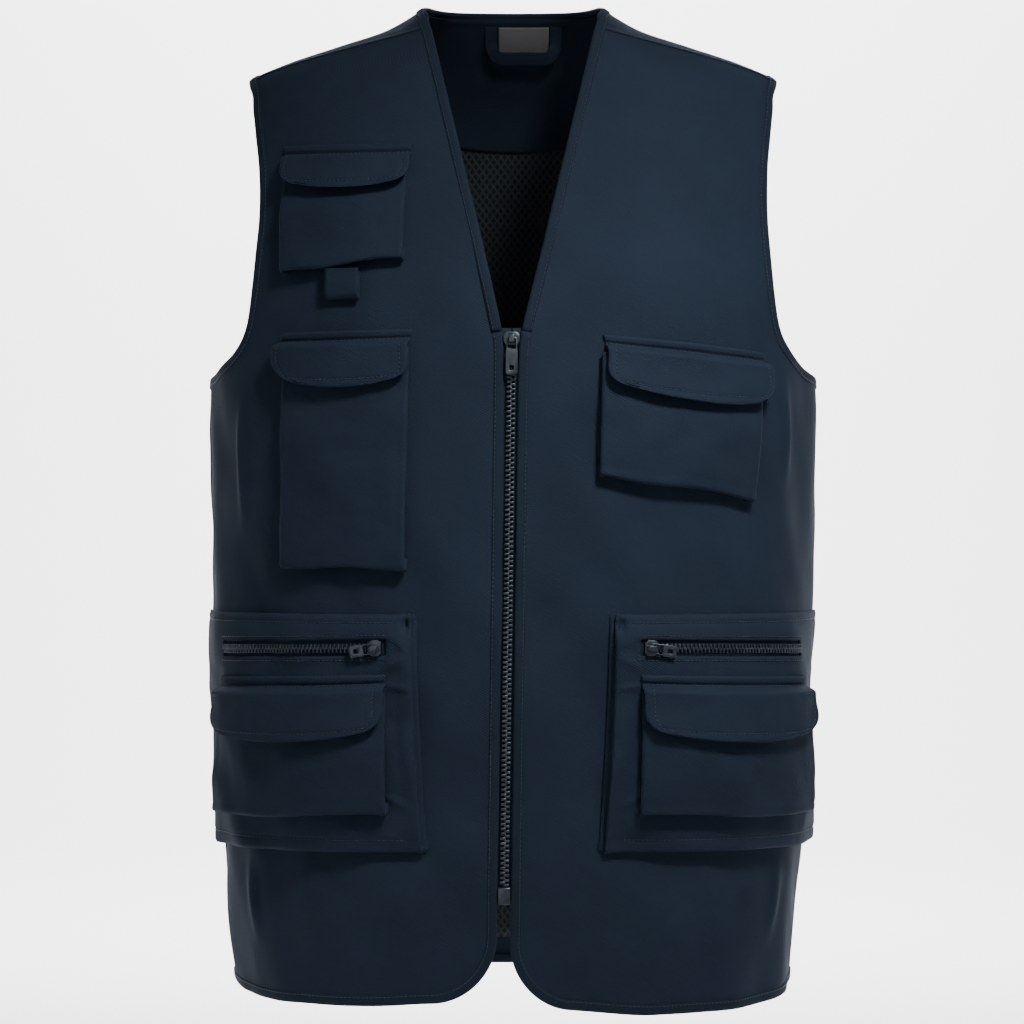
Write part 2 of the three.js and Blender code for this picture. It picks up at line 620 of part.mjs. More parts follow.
// A pouch: a face held off the cloth by walls down its sides and bottom, and along its top if that is closed.
// place(s, d) is the face's outline, rise(s, d) its height, and foot(turn, z) the height of what it is sewn on.
function pouchGeometry({ across, down, place, rise, foot, flare, closedTop }) {
  const columns = across.length + 1;
  const topRim = closedTop ? 1 : 0;
  const rows = down.length + topRim;
  const side = Math.sign(place(0.5, 0.5)[0]);
  return bent(columns, rows, (i, j, w) => {
    const a = clamp(i - 1, 0, across.length - 1);
    const b = clamp(j - topRim, 0, down.length - 1);
    const beyondSide = i === 0 ? -1 : i === columns ? 1 : 0;
    const beyondEnd = j === rows ? 1 : j === 0 && closedTop ? -1 : 0;
    const onSide = a === 0 ? -1 : a === across.length - 1 ? 1 : 0;
    const onEnd = b === down.length - 1 ? 1 : b === 0 && closedTop ? -1 : 0;
    const wall = w ? 0 : CLOTH;
    const round = side * (beyondSide * flare - onSide * wall);
    const fall = beyondEnd * flare - onEnd * wall;
    const at = move(place(across[a], down[b]), round, -fall);
    const rim = beyondSide !== 0 || beyondEnd !== 0;
    return onBody(at, rim ? foot(...at) + POUCH_FOOT : rise(across[a], down[b]) - wall);
  });
}

const flat = () => 0;

// The flap pockets on the chest. Sizes are distances beside the middle and heights: of the pouch's mouth and
// bottom edge, and of the flap's seam. Swell is how far the flap's sides swell out on their way down, drop its
// length, and mouth and belly are how far the pouch stands off at its mouth and lower down.
const POCKETS = [
  {
    name: "pen_pocket",
    inner: -74.2,
    outer: -161,
    lowInner: -76.8,
    lowOuter: -160,
    flapInner: -70.2,
    flapOuter: -162.6,
    innerSwell: -1.5,
    outerSwell: -1.5,
    topInner: -106,
    topOuter: -105.5,
    bottomInner: -189,
    bottomOuter: -197.4,
    drop: 35.5,
    mouth: 4,
    belly: 9,
  },
  {
    name: "phone_pocket",
    inner: -72,
    outer: -158.2,
    lowInner: -75,
    lowOuter: -159.2,
    flapInner: -69.3,
    flapOuter: -161.8,
    innerSwell: -2.5,
    outerSwell: 3,
    topInner: -238,
    topOuter: -239.4,
    bottomInner: -404.4,
    bottomOuter: -402.6,
    drop: 40.5,
    mouth: 6.5,
    belly: 9,
  },
  {
    name: "chest_pocket",
    inner: 62,
    outer: 173.5,
    lowInner: 60,
    lowOuter: 166.1,
    flapInner: 62.4,
    flapOuter: 177,
    innerSwell: -2.5,
    outerSwell: 0.5,
    topInner: -241.5,
    topOuter: -253,
    bottomInner: -339.4,
    bottomOuter: -355.8,
    drop: 41,
    mouth: 6.5,
    belly: 9,
  },
];
const POUCH_STEP = 17; // length of the cells across a pouch
const POUCH_DOWN = [0, 0.2, 0.5, 0.8, 1];
const POUCH_FLARE = 1.6; // its foot lies this far outside of its face's edge
const POUCH_FULL = 0.625; // share of the way down at which the pouch reaches its belly
const POUCH_DOME = 1.5; // the face's middle stands further off by this
const MOUTH_BELOW = 13; // the pouch's mouth lies this far below the flap's seam
const MOUTH_LIP = 1.5; // and the flap is fully raised this far above the mouth
const FLAP_SEAM = 7; // the flap is sewn flat this far down
const FLAP_CLOTH = 1.8;
const FLAP_CORNER = 13;
const FLAP_CLEAR = 1; // gap between the pouch and the flap over it
const FLAP_LIFT = 1.2; // what the flap's free edge stands further off
const FLAP_SWELL_END = 0.833; // share of the way down at which the sides have swelled back

// A flap pocket from a row of sizes, on what lies at the height that foot gives.
function flapPocket(row, foot) {
  const between = (fromX, toX, s, z) => [lerp(turnAt(fromX, z), turnAt(toX, z), s), z];
  const pouchPlace = (s, d) => {
    const top = lerp(row.topInner, row.topOuter, s) - MOUTH_BELOW;
    const z = lerp(top, lerp(row.bottomInner, row.bottomOuter, s), d);
    return between(lerp(row.inner, row.lowInner, d), lerp(row.outer, row.lowOuter, d), s, z);
  };
  const faceRise = (s, d) => {
    const belly = lerp(row.mouth, row.belly, ease(Math.min(1, d / POUCH_FULL)));
    return belly + POUCH_DOME * Math.sin(Math.PI * s) * Math.sin(Math.PI * d);
  };
  const rise = (s, d) => foot(...pouchPlace(s, d)) + faceRise(s, d);
  const width = radians(Math.abs(turnAt(row.outer, row.topOuter) - turnAt(row.inner, row.topInner)));
  const across = evenly(Math.ceil((width * halfWidth(row.topInner)) / POUCH_STEP));
  const down = POUCH_DOWN;
  const pouch = { across, down, place: pouchPlace, rise, foot, flare: POUCH_FLARE, closedTop: false };
  closed(row.name, pouchGeometry(pouch), twill);

  const away = Math.sign(row.flapOuter);
  const flapPlace = (s, d) => {
    const fall = row.drop * d;
    const past = Math.max(0, fall - row.drop + FLAP_CORNER);
    const cut = FLAP_CORNER - Math.sqrt(FLAP_CORNER * FLAP_CORNER - past * past);
    const swell = Math.sin(Math.PI * Math.min(1, d / FLAP_SWELL_END));
    const from = row.flapInner - away * (row.innerSwell * swell - cut);
    const to = row.flapOuter + away * (row.outerSwell * swell - cut);
    return between(from, to, s, lerp(row.topInner, row.topOuter, s) - fall);
  };
  const flapRise = (s, d) => {
    const fall = row.drop * d;
    const over = clamp((fall - FLAP_SEAM) / (MOUTH_BELOW - FLAP_SEAM - MOUTH_LIP), 0, 1);
    const pouchDown = clamp((fall - MOUTH_BELOW) / (row.topInner - MOUTH_BELOW - row.bottomInner), 0, 1);
    const lifted = faceRise(s, pouchDown) + FLAP_CLEAR + FLAP_LIFT * d;
    return foot(...flapPlace(s, d)) + lerp(POUCH_FOOT, lifted, over);
  };
  const flapDown = [0, FLAP_SEAM / row.drop, (MOUTH_BELOW - MOUTH_LIP) / row.drop, 0.7, 0.85, 0.95, 1];
  const outer = (s, d) => flapRise(s, d) + FLAP_CLOTH;
  sheet(row.name + "_flap", twill, across, flapDown, flapPlace, flapRise, outer);
}
for (const row of POCKETS) flapPocket(row, flat);

// The cargo pockets: a closed pouch with a zipped window in its face, from beside the zip to the side seam.
const CARGO = { inner: 19, lowInner: 17.6, outer: 87, top: -437.5, bottom: -601, flare: 4 };
// The face's height off the panel down the pocket, at its inner edge, middle and outer edge.
const CARGO_RISE = [
  { down: 0, inner: 3, middle: 3.4, outer: 2.2 },
  { down: 0.1, inner: 8, middle: 7, outer: 2.8 },
  { down: 0.35, inner: 11, middle: 10, outer: 3.4 },
  { down: 0.65, inner: 11, middle: 12, outer: 5 },
  { down: 0.9, inner: 8, middle: 12.5, outer: 7.5 },
  { down: 1, inner: 5, middle: 11, outer: 8 },
];
const cargoInner = (d) => lerp(CARGO.inner, CARGO.lowInner, d * d);
function cargoRise(s, d) {
  const [inner, middle, outer] = ["inner", "middle", "outer"].map((key) => column(CARGO_RISE, key, d, "down"));
  return s < 0.5 ? lerp(inner, middle, ease(2 * s)) : lerp(middle, outer, ease(2 * s - 1));
}
function cargoFace(turn, z) {
  const d = clamp((CARGO.top - z) / (CARGO.top - CARGO.bottom), 0, 1);
  const s = clamp((Math.abs(turn) - cargoInner(d)) / (CARGO.outer - cargoInner(d)), 0, 1);
  return cargoRise(s, d);
}
const WINDOW = { inner: 23.5, outer: 66.4, innerZ: -458.9, outerZ: -461.5, half: 6.6 };
const WINDOW_CUT = [-4, 3]; // the cut's reach below and above the face
const CARGO_TAPE = { pastEnds: 1.5, pastSides: 3, below: 0.9 }; // degrees, and millimetres
const CARGO_CHAIN = { half: 2.8, inner: 27.3, outer: 65.8, below: 0.5, thick: 2.4 };
const CARGO_SLIDER = { turn: 25.7, over: 0.2 }; // its turn, and its gap over the chain's foot
const CARGO_PULL = { length: 17.5, tilt: 0.17 }; // the pull hangs down towards the side seam by the tilt

// The patch pocket on the face of a cargo pocket, sized like the flap pockets, as on the left.
const PATCH = {
  inner: 87.6,
  outer: 200.5,
  lowInner: 86.5,
  lowOuter: 199.5,
  flapInner: 87,
  flapOuter: 200.5,
  innerSwell: -0.5,
  outerSwell: -1,
  topInner: -477.3,
  topOuter: -481,
  bottomInner: -574,
  bottomOuter: -577.5,
  drop: 44.5,
  mouth: 6.5,
  belly: 8.5,
};
const SIDEWAYS = ["inner", "outer", "lowInner", "lowOuter", "flapInner", "flapOuter"];

function cargoPocket({ name, side }) {
  const place = (s, d) => [side * lerp(cargoInner(d), CARGO.outer, s), lerp(CARGO.top, CARGO.bottom, d)];
  const across = evenly(11);
  const down = [0, 0.1, 0.3, 0.6, 0.85, 1];
  const pouch = { across, down, place, rise: cargoRise, foot: flat, flare: CARGO.flare, closedTop: true };
  const windowZ = (turn) => {
    return lerp(WINDOW.innerZ, WINDOW.outerZ, (turn - WINDOW.inner) / (WINDOW.outer - WINDOW.inner));
  };
  const onWindow = (turn, below) => [side * turn, windowZ(turn) - below];
  const columns = 9;
  const cutter = bent(columns, 1, (i, j, w) => {
    const turn = lerp(WINDOW.inner, WINDOW.outer, i / columns);
    const at = onWindow(turn, lerp(-WINDOW.half, WINDOW.half, j));
    return onBody(at, cargoFace(...at) + WINDOW_CUT[w]);
  });
  const cut = toManifold(pouchGeometry(pouch)).subtract(toManifold(cutter));
  closed(name + "_cargo_pocket", fromManifold(cut), twill);

  const tapePlace = (u, v) => {
    const turn = lerp(WINDOW.inner - CARGO_TAPE.pastEnds, WINDOW.outer + CARGO_TAPE.pastEnds, u);
    return onWindow(turn, lerp(-1, 1, v) * (WINDOW.half + CARGO_TAPE.pastSides));
  };
  const tapeFace = (u, v) => cargoFace(...tapePlace(u, v)) - CLOTH - CARGO_TAPE.below;
  const tapeBack = (u, v) => tapeFace(u, v) - TAPE_CLOTH;
  sheet(name + "_cargo_zip_tape", tape, evenly(14), [0, 1], tapePlace, tapeBack, tapeFace);
  const chainAt = (u, v) => {
    return onWindow(lerp(CARGO_CHAIN.inner, CARGO_CHAIN.outer, u), lerp(-1, 1, v) * CARGO_CHAIN.half);
  };
  const chainFoot = (u, v) => cargoFace(...chainAt(u, v)) - CLOTH - CARGO_CHAIN.below;
  const chainFace = (u, v) => chainFoot(u, v) + CARGO_CHAIN.thick;
  sheet(name + "_cargo_zip_chain", zipMetal, evenly(12), [0, 1], chainAt, chainFoot, chainFace);
  const sliderAt = onWindow(CARGO_SLIDER.turn, 0);
  const sliderOut = cargoFace(...sliderAt) - CLOTH - CARGO_CHAIN.below - SLIDER.base + CARGO_SLIDER.over;
  placeZipHardware(name + "_cargo", sliderAt, sliderOut, [side, 0], -side * CARGO_PULL.tilt, CARGO_PULL.length);

  const mirrored = { ...PATCH, name: name + "_patch_pocket" };
  for (const key of SIDEWAYS) mirrored[key] *= side;
  flapPocket(mirrored, cargoFace);
}
FRONT.forEach(cargoPocket);

// A ribbon runs through stations, each with its two edges and its thickness set off to one side.
function ribbon(name, material, stations, thick) {
  const middle = stations.map(([a, b]) => a.clone().add(b).divideScalar(2));
  return closed(name, bent(stations.length - 1, 1, (i, j, w) => {
    const [a, b] = stations[i];
    const before = middle[Math.max(0, i - 1)];
    const after = middle[Math.min(stations.length - 1, i + 1)];
    const off = new THREE.Vector3().crossVectors(after.clone().sub(before), b.clone().sub(a)).normalize();
    return (j ? a : b).clone().addScaledVector(off, (w - 0.5) * thick);
  }), material);
}

// The tab loop under the pen pocket: a strip that comes down, turns back and is sewn to the panel.
const TAB = { outer: -129.3, inner: -106.4, thick: 1.4 };
const TAB_STATIONS = [
  { z: -196.5, out: 7.5 },
  { z: -205, out: 7.5 },
  { z: -213, out: 7.1 },
  { z: -216, out: 5.6 },
  { z: -217, out: 4.3 },
  { z: -216, out: 3 },
  { z: -213, out: 1.5 },
  { z: -205, out: 1.4 },
  { z: -197.5, out: 1.4 },
];
const tabPoint = (x, row) => onBody([turnAt(x, row.z), row.z], row.out);
const tabStations = TAB_STATIONS.map((row) => [tabPoint(TAB.outer, row), tabPoint(TAB.inner, row)]);
ribbon("tab_loop", twill, tabStations, TAB.thick);

// The bare label and the hang loop inside the back neck.
const inBackNeck = (x, z, out) => onBody([180 - turnAt(x, z), z], out);
const LABEL = { left: -11, right: 27.5, top: -1.2, bottom: -27.4, back: 3.6, thick: 0.8 };
const labelPlace = (u, v) => {
  const z = lerp(LABEL.top, LABEL.bottom, v);
  return [180 - turnAt(lerp(LABEL.left, LABEL.right, u), z), z];
};
sheet("neck_label", labelCloth, evenly(4), evenly(3), labelPlace, -LABEL.back - LABEL.thick, -LABEL.back);

const HANG_LOOP_THICK = 1.1;
// The hang loop's outer and inner edge from its right end to its left, and how far inside the cloth's face it runs.
const HANG_LOOP = [
  { x: -21.3, z: -1, innerX: -12.6, innerZ: -1, back: 4 },
  { x: -21.3, z: -12, innerX: -12.6, innerZ: -11, back: 5.5 },
  { x: -19, z: -19, innerX: -12, innerZ: -14, back: 8.5 },
  { x: -11, z: -25.2, innerX: -8.5, innerZ: -16.2, back: 10.3 },
  { x: 8, z: -25.2, innerX: 8, innerZ: -16.2, back: 10.3 },
  { x: 27, z: -25.2, innerX: 24.5, innerZ: -16.2, back: 10.3 },
  { x: 35, z: -19, innerX: 28, innerZ: -14, back: 8.5 },
  { x: 37.3, z: -12, innerX: 28.6, innerZ: -11, back: 5.5 },
  { x: 37.3, z: -1, innerX: 28.6, innerZ: -1, back: 4 },
];
const loopStations = HANG_LOOP.map((row) => [
  inBackNeck(row.x, row.z, -row.back),
  inBackNeck(row.innerX, row.innerZ, -row.back),
]);
ribbon("hang_loop", tape, loopStations, HANG_LOOP_THICK);

export default group;
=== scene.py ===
import math

import bmesh
import bpy
import numpy as np
from mathutils import Matrix, Vector, noise


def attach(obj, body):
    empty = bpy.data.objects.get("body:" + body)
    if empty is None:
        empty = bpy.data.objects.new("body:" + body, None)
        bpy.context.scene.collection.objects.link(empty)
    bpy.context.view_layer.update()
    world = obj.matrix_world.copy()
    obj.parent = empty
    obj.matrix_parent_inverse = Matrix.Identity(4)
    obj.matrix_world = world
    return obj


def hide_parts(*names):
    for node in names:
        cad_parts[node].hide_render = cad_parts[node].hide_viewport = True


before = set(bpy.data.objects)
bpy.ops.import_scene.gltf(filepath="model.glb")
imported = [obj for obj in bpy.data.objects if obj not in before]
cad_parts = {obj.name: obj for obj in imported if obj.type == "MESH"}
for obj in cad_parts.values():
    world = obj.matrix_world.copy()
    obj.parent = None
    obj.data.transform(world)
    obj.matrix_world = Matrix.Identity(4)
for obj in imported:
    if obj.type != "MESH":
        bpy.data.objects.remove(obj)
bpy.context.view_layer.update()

# Camera and studio.
# The camera stands level with the vest's middle, 2.6 m in front of it. The backdrop is one pale sheet that
# runs from under the vest up behind it, with a strong wide light of its own. A small soft light falls steeply
# on the front, so that pockets and flaps throw shadows, and two wide weak ones fill from in front and behind.
camera_data = bpy.data.cameras.new("camera")
camera_data.sensor_width = 36
camera_data.lens = 125.2
camera = bpy.data.objects.new("camera", camera_data)
camera.location = (-0.00073, -2.6, -0.365)
camera.rotation_euler = (math.radians(90), 0, 0)
bpy.context.collection.objects.link(camera)
bpy.context.scene.camera = camera


def linear(hex_colour):
    """An sRGB hex colour as the linear values that a shader takes."""
    shares = [int(hex_colour[i : i + 2], 16) / 255 for i in (1, 3, 5)]
    return [c / 12.92 if c <= 0.04045 else ((c + 0.055) / 1.055) ** 2.4 for c in shares] + [1]


def node(tree, kind, settings=None, links=None):
    """Adds a node to a material, with its settings and unlinked inputs by name, and the outputs it takes."""
    made = tree.nodes.new(kind)
    for name, value in (settings or {}).items():
        if isinstance(name, int) or name in made.inputs:
            made.inputs[name].default_value = value
        else:
            setattr(made, name, value)
    for name, output in (links or {}).items():
        tree.links.new(output, made.inputs[name])
    return made


def new_material(name):
    """An empty node material and its tree."""
    material = bpy.data.materials.new(name)
    material.use_nodes = True
    material.node_tree.nodes.clear()
    return material, material.node_tree


def surface(tree, settings, links):
    """Gives a material its shader and output."""
    shader = node(tree, "ShaderNodeBsdfPrincipled", settings, links)
    node(tree, "ShaderNodeOutputMaterial", links={"Surface": shader.outputs[0]})


# Matt white paper off a roll, evenly pale, so that the vest's outline stands out.
backdrop_paper, tree = new_material("matt white backdrop paper")
surface(tree, {"Base Color": linear("#f4f5f7"), "Roughness": 0.9}, {})
FLOOR_START, FLOOR_HEIGHT = -3.2, -0.86
FLAT_RUN, BEND_RUN = 5.8, 1.2  # metres of the sheet that lie flat, and that bend up
bm = bmesh.new()
bmesh.ops.create_grid(bm, x_segments=8, y_segments=48, size=1)
for vert in bm.verts:
    run = (vert.co.y + 1) * 4.5
    bend = min(max((run - FLAT_RUN) / BEND_RUN, 0), 1) * math.pi / 2
    radius = BEND_RUN / (math.pi / 2)
    along = min(run, FLAT_RUN) + FLOOR_START + radius * math.sin(bend)
    rise = radius * (1 - math.cos(bend)) + max(run - FLAT_RUN - BEND_RUN, 0)
    vert.co = (vert.co.x * 5, along, FLOOR_HEIGHT + rise)
mesh = bpy.data.meshes.new("backdrop")
bm.to_mesh(mesh)
bm.free()
mesh.materials.append(backdrop_paper)
mesh.shade_smooth()
backdrop = bpy.data.objects.new("backdrop", mesh)
bpy.context.collection.objects.link(backdrop)


def soft_light(name, place, target, size, power, spread=180):
    """A wide square light that faces a point, and spreads over an angle in degrees."""
    data = bpy.data.lights.new(name, "AREA")
    data.size = size
    data.spread = math.radians(spread)
    data.energy = power
    light = bpy.data.objects.new(name, data)
    light.location = place
    light.rotation_euler = (Vector(target) - Vector(place)).to_track_quat("-Z", "Y").to_euler()
    bpy.context.collection.objects.link(light)


soft_light("key_light", (0.5, -1, 0.75), (0.04, -0.1, -0.4), 0.25, 1.35, 44)
soft_light("fill_light", (-0.7, -2, -0.1), (0, 0, -0.3), 1, 3)
soft_light("back_light", (0.9, 1.3, 0.5), (0, 0, -0.4), 1.2, 2)
soft_light("backdrop_light", (0, 1.2, 1.5), (0, 3.4, 0), 2.4, 400)
world = bpy.data.worlds.new("studio")
world.use_nodes = True
world.node_tree.nodes["Background"].inputs["Color"].default_value = linear("#f7f8fa")
world.node_tree.nodes["Background"].inputs["Strength"].default_value = 0.13
bpy.context.scene.world = world

# Front panels.
# Navy polycotton twill, cut in one piece from the shoulder's forward seam to the hem, with soft folds where
# the cloth hangs from the chest and the armholes. Their edges lie inside the folded edge tapes.
BODY = np.array(  # height, half width, depth of the front and of the back, in millimetres
    [
        (-720, 199.5, 119, 112),
        (-612, 209.5, 124, 111),
        (-520, 214.5, 127, 109),
        (-440, 218.3, 130, 109),
        (-300, 220, 131, 115),
        (-235, 218.5, 127, 118),
        (-150, 213, 109, 114),
        (-80, 206.5, 88, 101),
        (-60, 199, 81, 95),
        (-51, 191, 77, 91),
        (-40, 167, 71, 85),
        (-28, 131, 64, 79),
        (-16, 95, 56, 72),
        (-5, 75, 50, 66),
        (0.5, 67, 47, 63),
        (3, 60, 45.5, 61),
        (9, 51, 44, 59),
    ]
)
SIDE_BULGE = 0.25  # how much fuller than an ellipse the sections are near the sides
FOLDS = [  # turn, lean, top, bottom, half width and height of each soft ridge
    (-60, 1, -268, -436, 7, 4.5),
    (61, -1, -250, -400, 7, 4.5),
    (-63, -3, -604, -706, 7, 3.5),
    (64, 3, -604, -706, 7, 3.5),
    (-38, 6, -625, -712, 20, 3),
    (36, 6, -625, -716, 20, 3),
    (150, 0, -300, -712, 36, 4),
    (208, 0, -320, -712, 36, 4),
]
MM = 0.001
MM_PER_DEGREE = 3.2  # round the chest


def tween(table, key, at):
    """A column of a table at places between its rows, on a curve that doesn't overshoot."""
    xs, ys = table[:, 0], table[:, key]
    rise = np.diff(ys) / np.diff(xs)
    before, after = rise[:-1], rise[1:]
    same = before * after > 0
    inner = np.where(same, 2 * before * after / np.where(same, before + after, 1), 0)
    slope = np.concatenate(([rise[0]], inner, [rise[-1]]))
    t = np.clip(at, xs[0], xs[-1])
    i = np.clip(np.searchsorted(xs, t, side="right") - 1, 0, len(xs) - 2)
    run = xs[i + 1] - xs[i]
    f = (t - xs[i]) / run
    bend = run * f * (1 - f) * ((1 - f) * slope[i] - f * slope[i + 1])
    return ys[i] + (ys[i + 1] - ys[i]) * f * f * (3 - 2 * f) + bend


def ease(t):
    t = np.clip(t, 0, 1)
    return t * t * (3 - 2 * t)


def half_width(z):
    return tween(BODY, 1, z)


def body_point(turn, z):
    """A point of the worn body's section, in millimetres, turn degrees round from the middle of the front."""
    a = np.radians(turn)
    cos = np.cos(a)
    depth = np.where(cos >= 0, tween(BODY, 2, z), tween(BODY, 3, z))
    bulge = 1 + SIDE_BULGE * np.sin(a) ** 2
    return np.stack((half_width(z) * np.sin(a), -depth * cos * bulge, z + 0 * a), -1)


def body_frame(turn, z):
    """The directions round, up and out: round as long as one degree there, up as one millimetre."""
    round_ = body_point(turn + 0.5, z) - body_point(turn - 0.5, z)
    up = body_point(turn, z + 0.5) - body_point(turn, z - 0.5)
    out = np.cross(round_, up)
    return round_, up, out / np.linalg.norm(out, axis=-1, keepdims=True)


def ripple(x, y, wide, high, seed):
    """Soft noise with bumps of a width and height in millimetres, at points on the flat cloth."""
    return np.array([noise.noise((a / wide, b / high, seed)) for a, b in zip(x, y)])


def drape(turn, z):
    """How far folds and small creases lift the cloth off the body's section."""
    lift = 0 * turn
    for middle, lean, top, bottom, half, height in FOLDS:
        down = np.clip((top - z) / (top - bottom), 0, 1)
        off = np.radians(turn - middle + lean * down) * half_width(z) / half
        lift = lift + height * np.sin(np.pi * np.minimum(1, down * 1.4)) ** 2 * np.exp(-off * off)
    low = np.clip((-z - 60) / 160, 0, 1)
    across = turn * MM_PER_DEGREE
    soft, small = ripple(across, z, 50, 85, 3.1), ripple(across, z, 24, 40, 7.7)
    slant = ripple(across + 0.5 * z, z - 0.5 * across, 34, 120, 12.4)
    return lift + low * (2.8 * soft + 0.8 * small + 2.4 * slant * np.clip((-z - 200) / 200, 0, 1))


def on_body(turn, z, out):
    """Points this far out of the draped cloth's outer face."""
    turn, z = np.atleast_1d(np.asarray(turn, float)), np.atleast_1d(np.asarray(z, float))
    away = body_frame(turn, z)[2]
    return body_point(turn, z) + away * (np.asarray(out) + drape(turn, z))[:, None]


def cloth_grid(columns, rows, place, height):
    """Cloth on the body: place gives turns and heights for shares across and up, height the distance out."""
    bm = bmesh.new()
    bmesh.ops.create_grid(bm, x_segments=columns, y_segments=rows, size=0.5)
    share = np.array([vert.co[:2] for vert in bm.verts]) + 0.5
    turn, z = place(share[:, 0], share[:, 1])
    points = on_body(turn, z, height(share[:, 0], share[:, 1], turn, z)) * MM
    for vert, point in zip(bm.verts, points):
        vert.co = point
    lay_uv(bm, np.stack((turn * MM_PER_DEGREE, z), 1) * MM)
    away = body_frame(turn, z)[2]
    facing = sum(face.normal.dot(Vector(away[face.verts[0].index])) for face in bm.faces)
    if facing < 0:
        bmesh.ops.reverse_faces(bm, faces=bm.faces[:])
    return bm


def lay_uv(bm, flat):
    """Gives each vertex's place on the flat cloth, in metres, to the corners of its faces."""
    bm.verts.index_update()
    bm.normal_update()
    layer = bm.loops.layers.uv.new("cloth")
    for face in bm.faces:
        for loop in face.loops:
            loop[layer].uv = flat[loop.vert.index]


def piece(bm, name, material, wall=0, body="vest", replaces=()):
    """A finished piece from its bmesh, with a wall to the inside where it has one."""
    mesh = bpy.data.meshes.new(name)
    bm.to_mesh(mesh)
    bm.free()
    mesh.materials.append(material)
    mesh.shade_smooth()
    made = bpy.data.objects.new(name, mesh)
    bpy.context.collection.objects.link(made)
    if wall:
        solid = made.modifiers.new("wall", "SOLIDIFY")
        solid.thickness = wall * MM
        solid.offset = -1
    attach(made, body)
    if replaces:
        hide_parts(*replaces)
    return made


def cloth_material(name, dark, light, thread, depth, sheen):
    """Woven cloth: two close shades in patches and fibres, and ribs at a thread spacing in millimetres."""
    made, tree = new_material(name)
    flat = node(tree, "ShaderNodeUVMap", {"uv_map": "cloth"}).outputs[0]
    patches = node(tree, "ShaderNodeTexNoise", {"Scale": 14, "Detail": 3}, {"Vector": flat})
    fibres = node(tree, "ShaderNodeTexNoise", {"Scale": 620, "Detail": 2}, {"Vector": flat})
    turned = node(tree, "ShaderNodeMapping", {"Rotation": (0, 0, math.radians(-58))}, {"Vector": flat})
    ribs = node(
        tree,
        "ShaderNodeTexWave",
        {"Scale": math.pi / 10 / (thread * MM), "Distortion": 0.6, "Detail Scale": 2.0},
        {"Vector": turned.outputs[0]},
    )
    faint = node(tree, "ShaderNodeMath", {"operation": "MULTIPLY", 1: 0.35}, {0: patches.outputs["Fac"]})
    both = node(tree, "ShaderNodeMath", {"operation": "MULTIPLY_ADD", 1: 0.45}, {0: fibres.outputs["Fac"]})
    tree.links.new(faint.outputs[0], both.inputs[2])
    weave = node(tree, "ShaderNodeMath", {"operation": "MULTIPLY_ADD", 1: 0.16}, {0: ribs.outputs["Fac"]})
    tree.links.new(both.outputs[0], weave.inputs[2])
    bounds = {"From Min": 0.25, "From Max": 0.75}
    shade = node(tree, "ShaderNodeMapRange", bounds, {"Value": weave.outputs[0]})
    colour = node(
        tree,
        "ShaderNodeMix",
        {"data_type": "RGBA", 6: linear(dark), 7: linear(light)},
        {0: shade.outputs[0]},
    )
    rough = node(
        tree,
        "ShaderNodeMapRange",
        {"From Min": 0.3, "From Max": 0.7, "To Min": 0.78, "To Max": 0.9},
        {"Value": fibres.outputs["Fac"]},
    )
    relief = node(tree, "ShaderNodeMath", {"operation": "MULTIPLY_ADD", 1: 0.5}, {0: fibres.outputs["Fac"]})
    tree.links.new(ribs.outputs["Fac"], relief.inputs[2])
    bump = node(
        tree, "ShaderNodeBump", {"Strength": 0.55, "Distance": depth * MM}, {"Height": relief.outputs[0]}
    )
    settings = {"Sheen Weight": sheen, "Sheen Roughness": 0.45, "Sheen Tint": linear("#8fa3bd")}
    surface(
        tree,
        {**settings, "Specular IOR Level": 0.25},
        {"Base Color": colour.outputs[2], "Roughness": rough.outputs[0], "Normal": bump.outputs[0]},
    )
    return made


# Piece-dyed polycotton twill, matt, with a fine diagonal rib: 0.5 mm apart on the real cloth and drawn at
# 1.5 mm, so that it still shows.
navy_twill = cloth_material("navy polycotton twill", "#172231", "#263447", 1.5, 0.25, 0.05)

# The same twill in darker colours, as painted shade for the layer inside the yoke where the collar shades it,
# so that the neck's inside reads deeper than the fronts.
shade_darkened_twill = cloth_material("navy polycotton twill lining with painted shade", "#121d28", "#1d2c3c", 1.5, 0.25, 0.02)

ARMHOLE = np.array(  # height, and turns of its front and back edge, from the shoulder tip to the underarm
    [
        (-51, 90, 90),
        (-53, 82, 98),
        (-57, 75, 106),
        (-66, 68, 112.5),
        (-79, 64.5, 115.5),
        (-98, 61.7, 117.5),
        (-121, 59.2, 119.2),
        (-150, 57.9, 120.2),
        (-179, 57.8, 120.6),
        (-208, 58.3, 119.8),
        (-234, 60, 117.5),
        (-249, 63.6, 114),
        (-259, 69.5, 108.5),
        (-266, 77.5, 101),
        (-270, 90, 90),
    ]
)
TUCK = 3.4  # the cloth ends this far inside an edge, within its tape
V_BOTTOM = -246
ZIP_TOP = -241
HEM_CORNER_TOP = -662
HEM = np.array(  # turn, and the hem's height on the wearer's right and left
    [
        (0, -706, -709),
        (18, -708, -714),
        (30, -710.5, -717),
        (50, -710.5, -716),
        (70, -709, -712),
        (90, -703, -704),
    ]
)
HEM_RADIUS = {-1: 46, 1: 42}


def through(points, t):
    """A smooth curve through the rows of an array, at places counted in rows."""
    padded = np.concatenate((points[:1], points, points[-1:]))
    i = np.minimum(t.astype(int), len(points) - 2)
    f = (t - i).reshape(-1, *[1] * (points.ndim - 1))
    p0, p1, p2, p3 = (padded[i + k] for k in range(4))
    v0, v1 = (p2 - p0) / 2, (p3 - p1) / 2
    return (2 * p1 - 2 * p2 + v0 + v1) * f**3 + (-3 * p1 + 3 * p2 - 2 * v0 - v1) * f**2 + v0 * f + p1


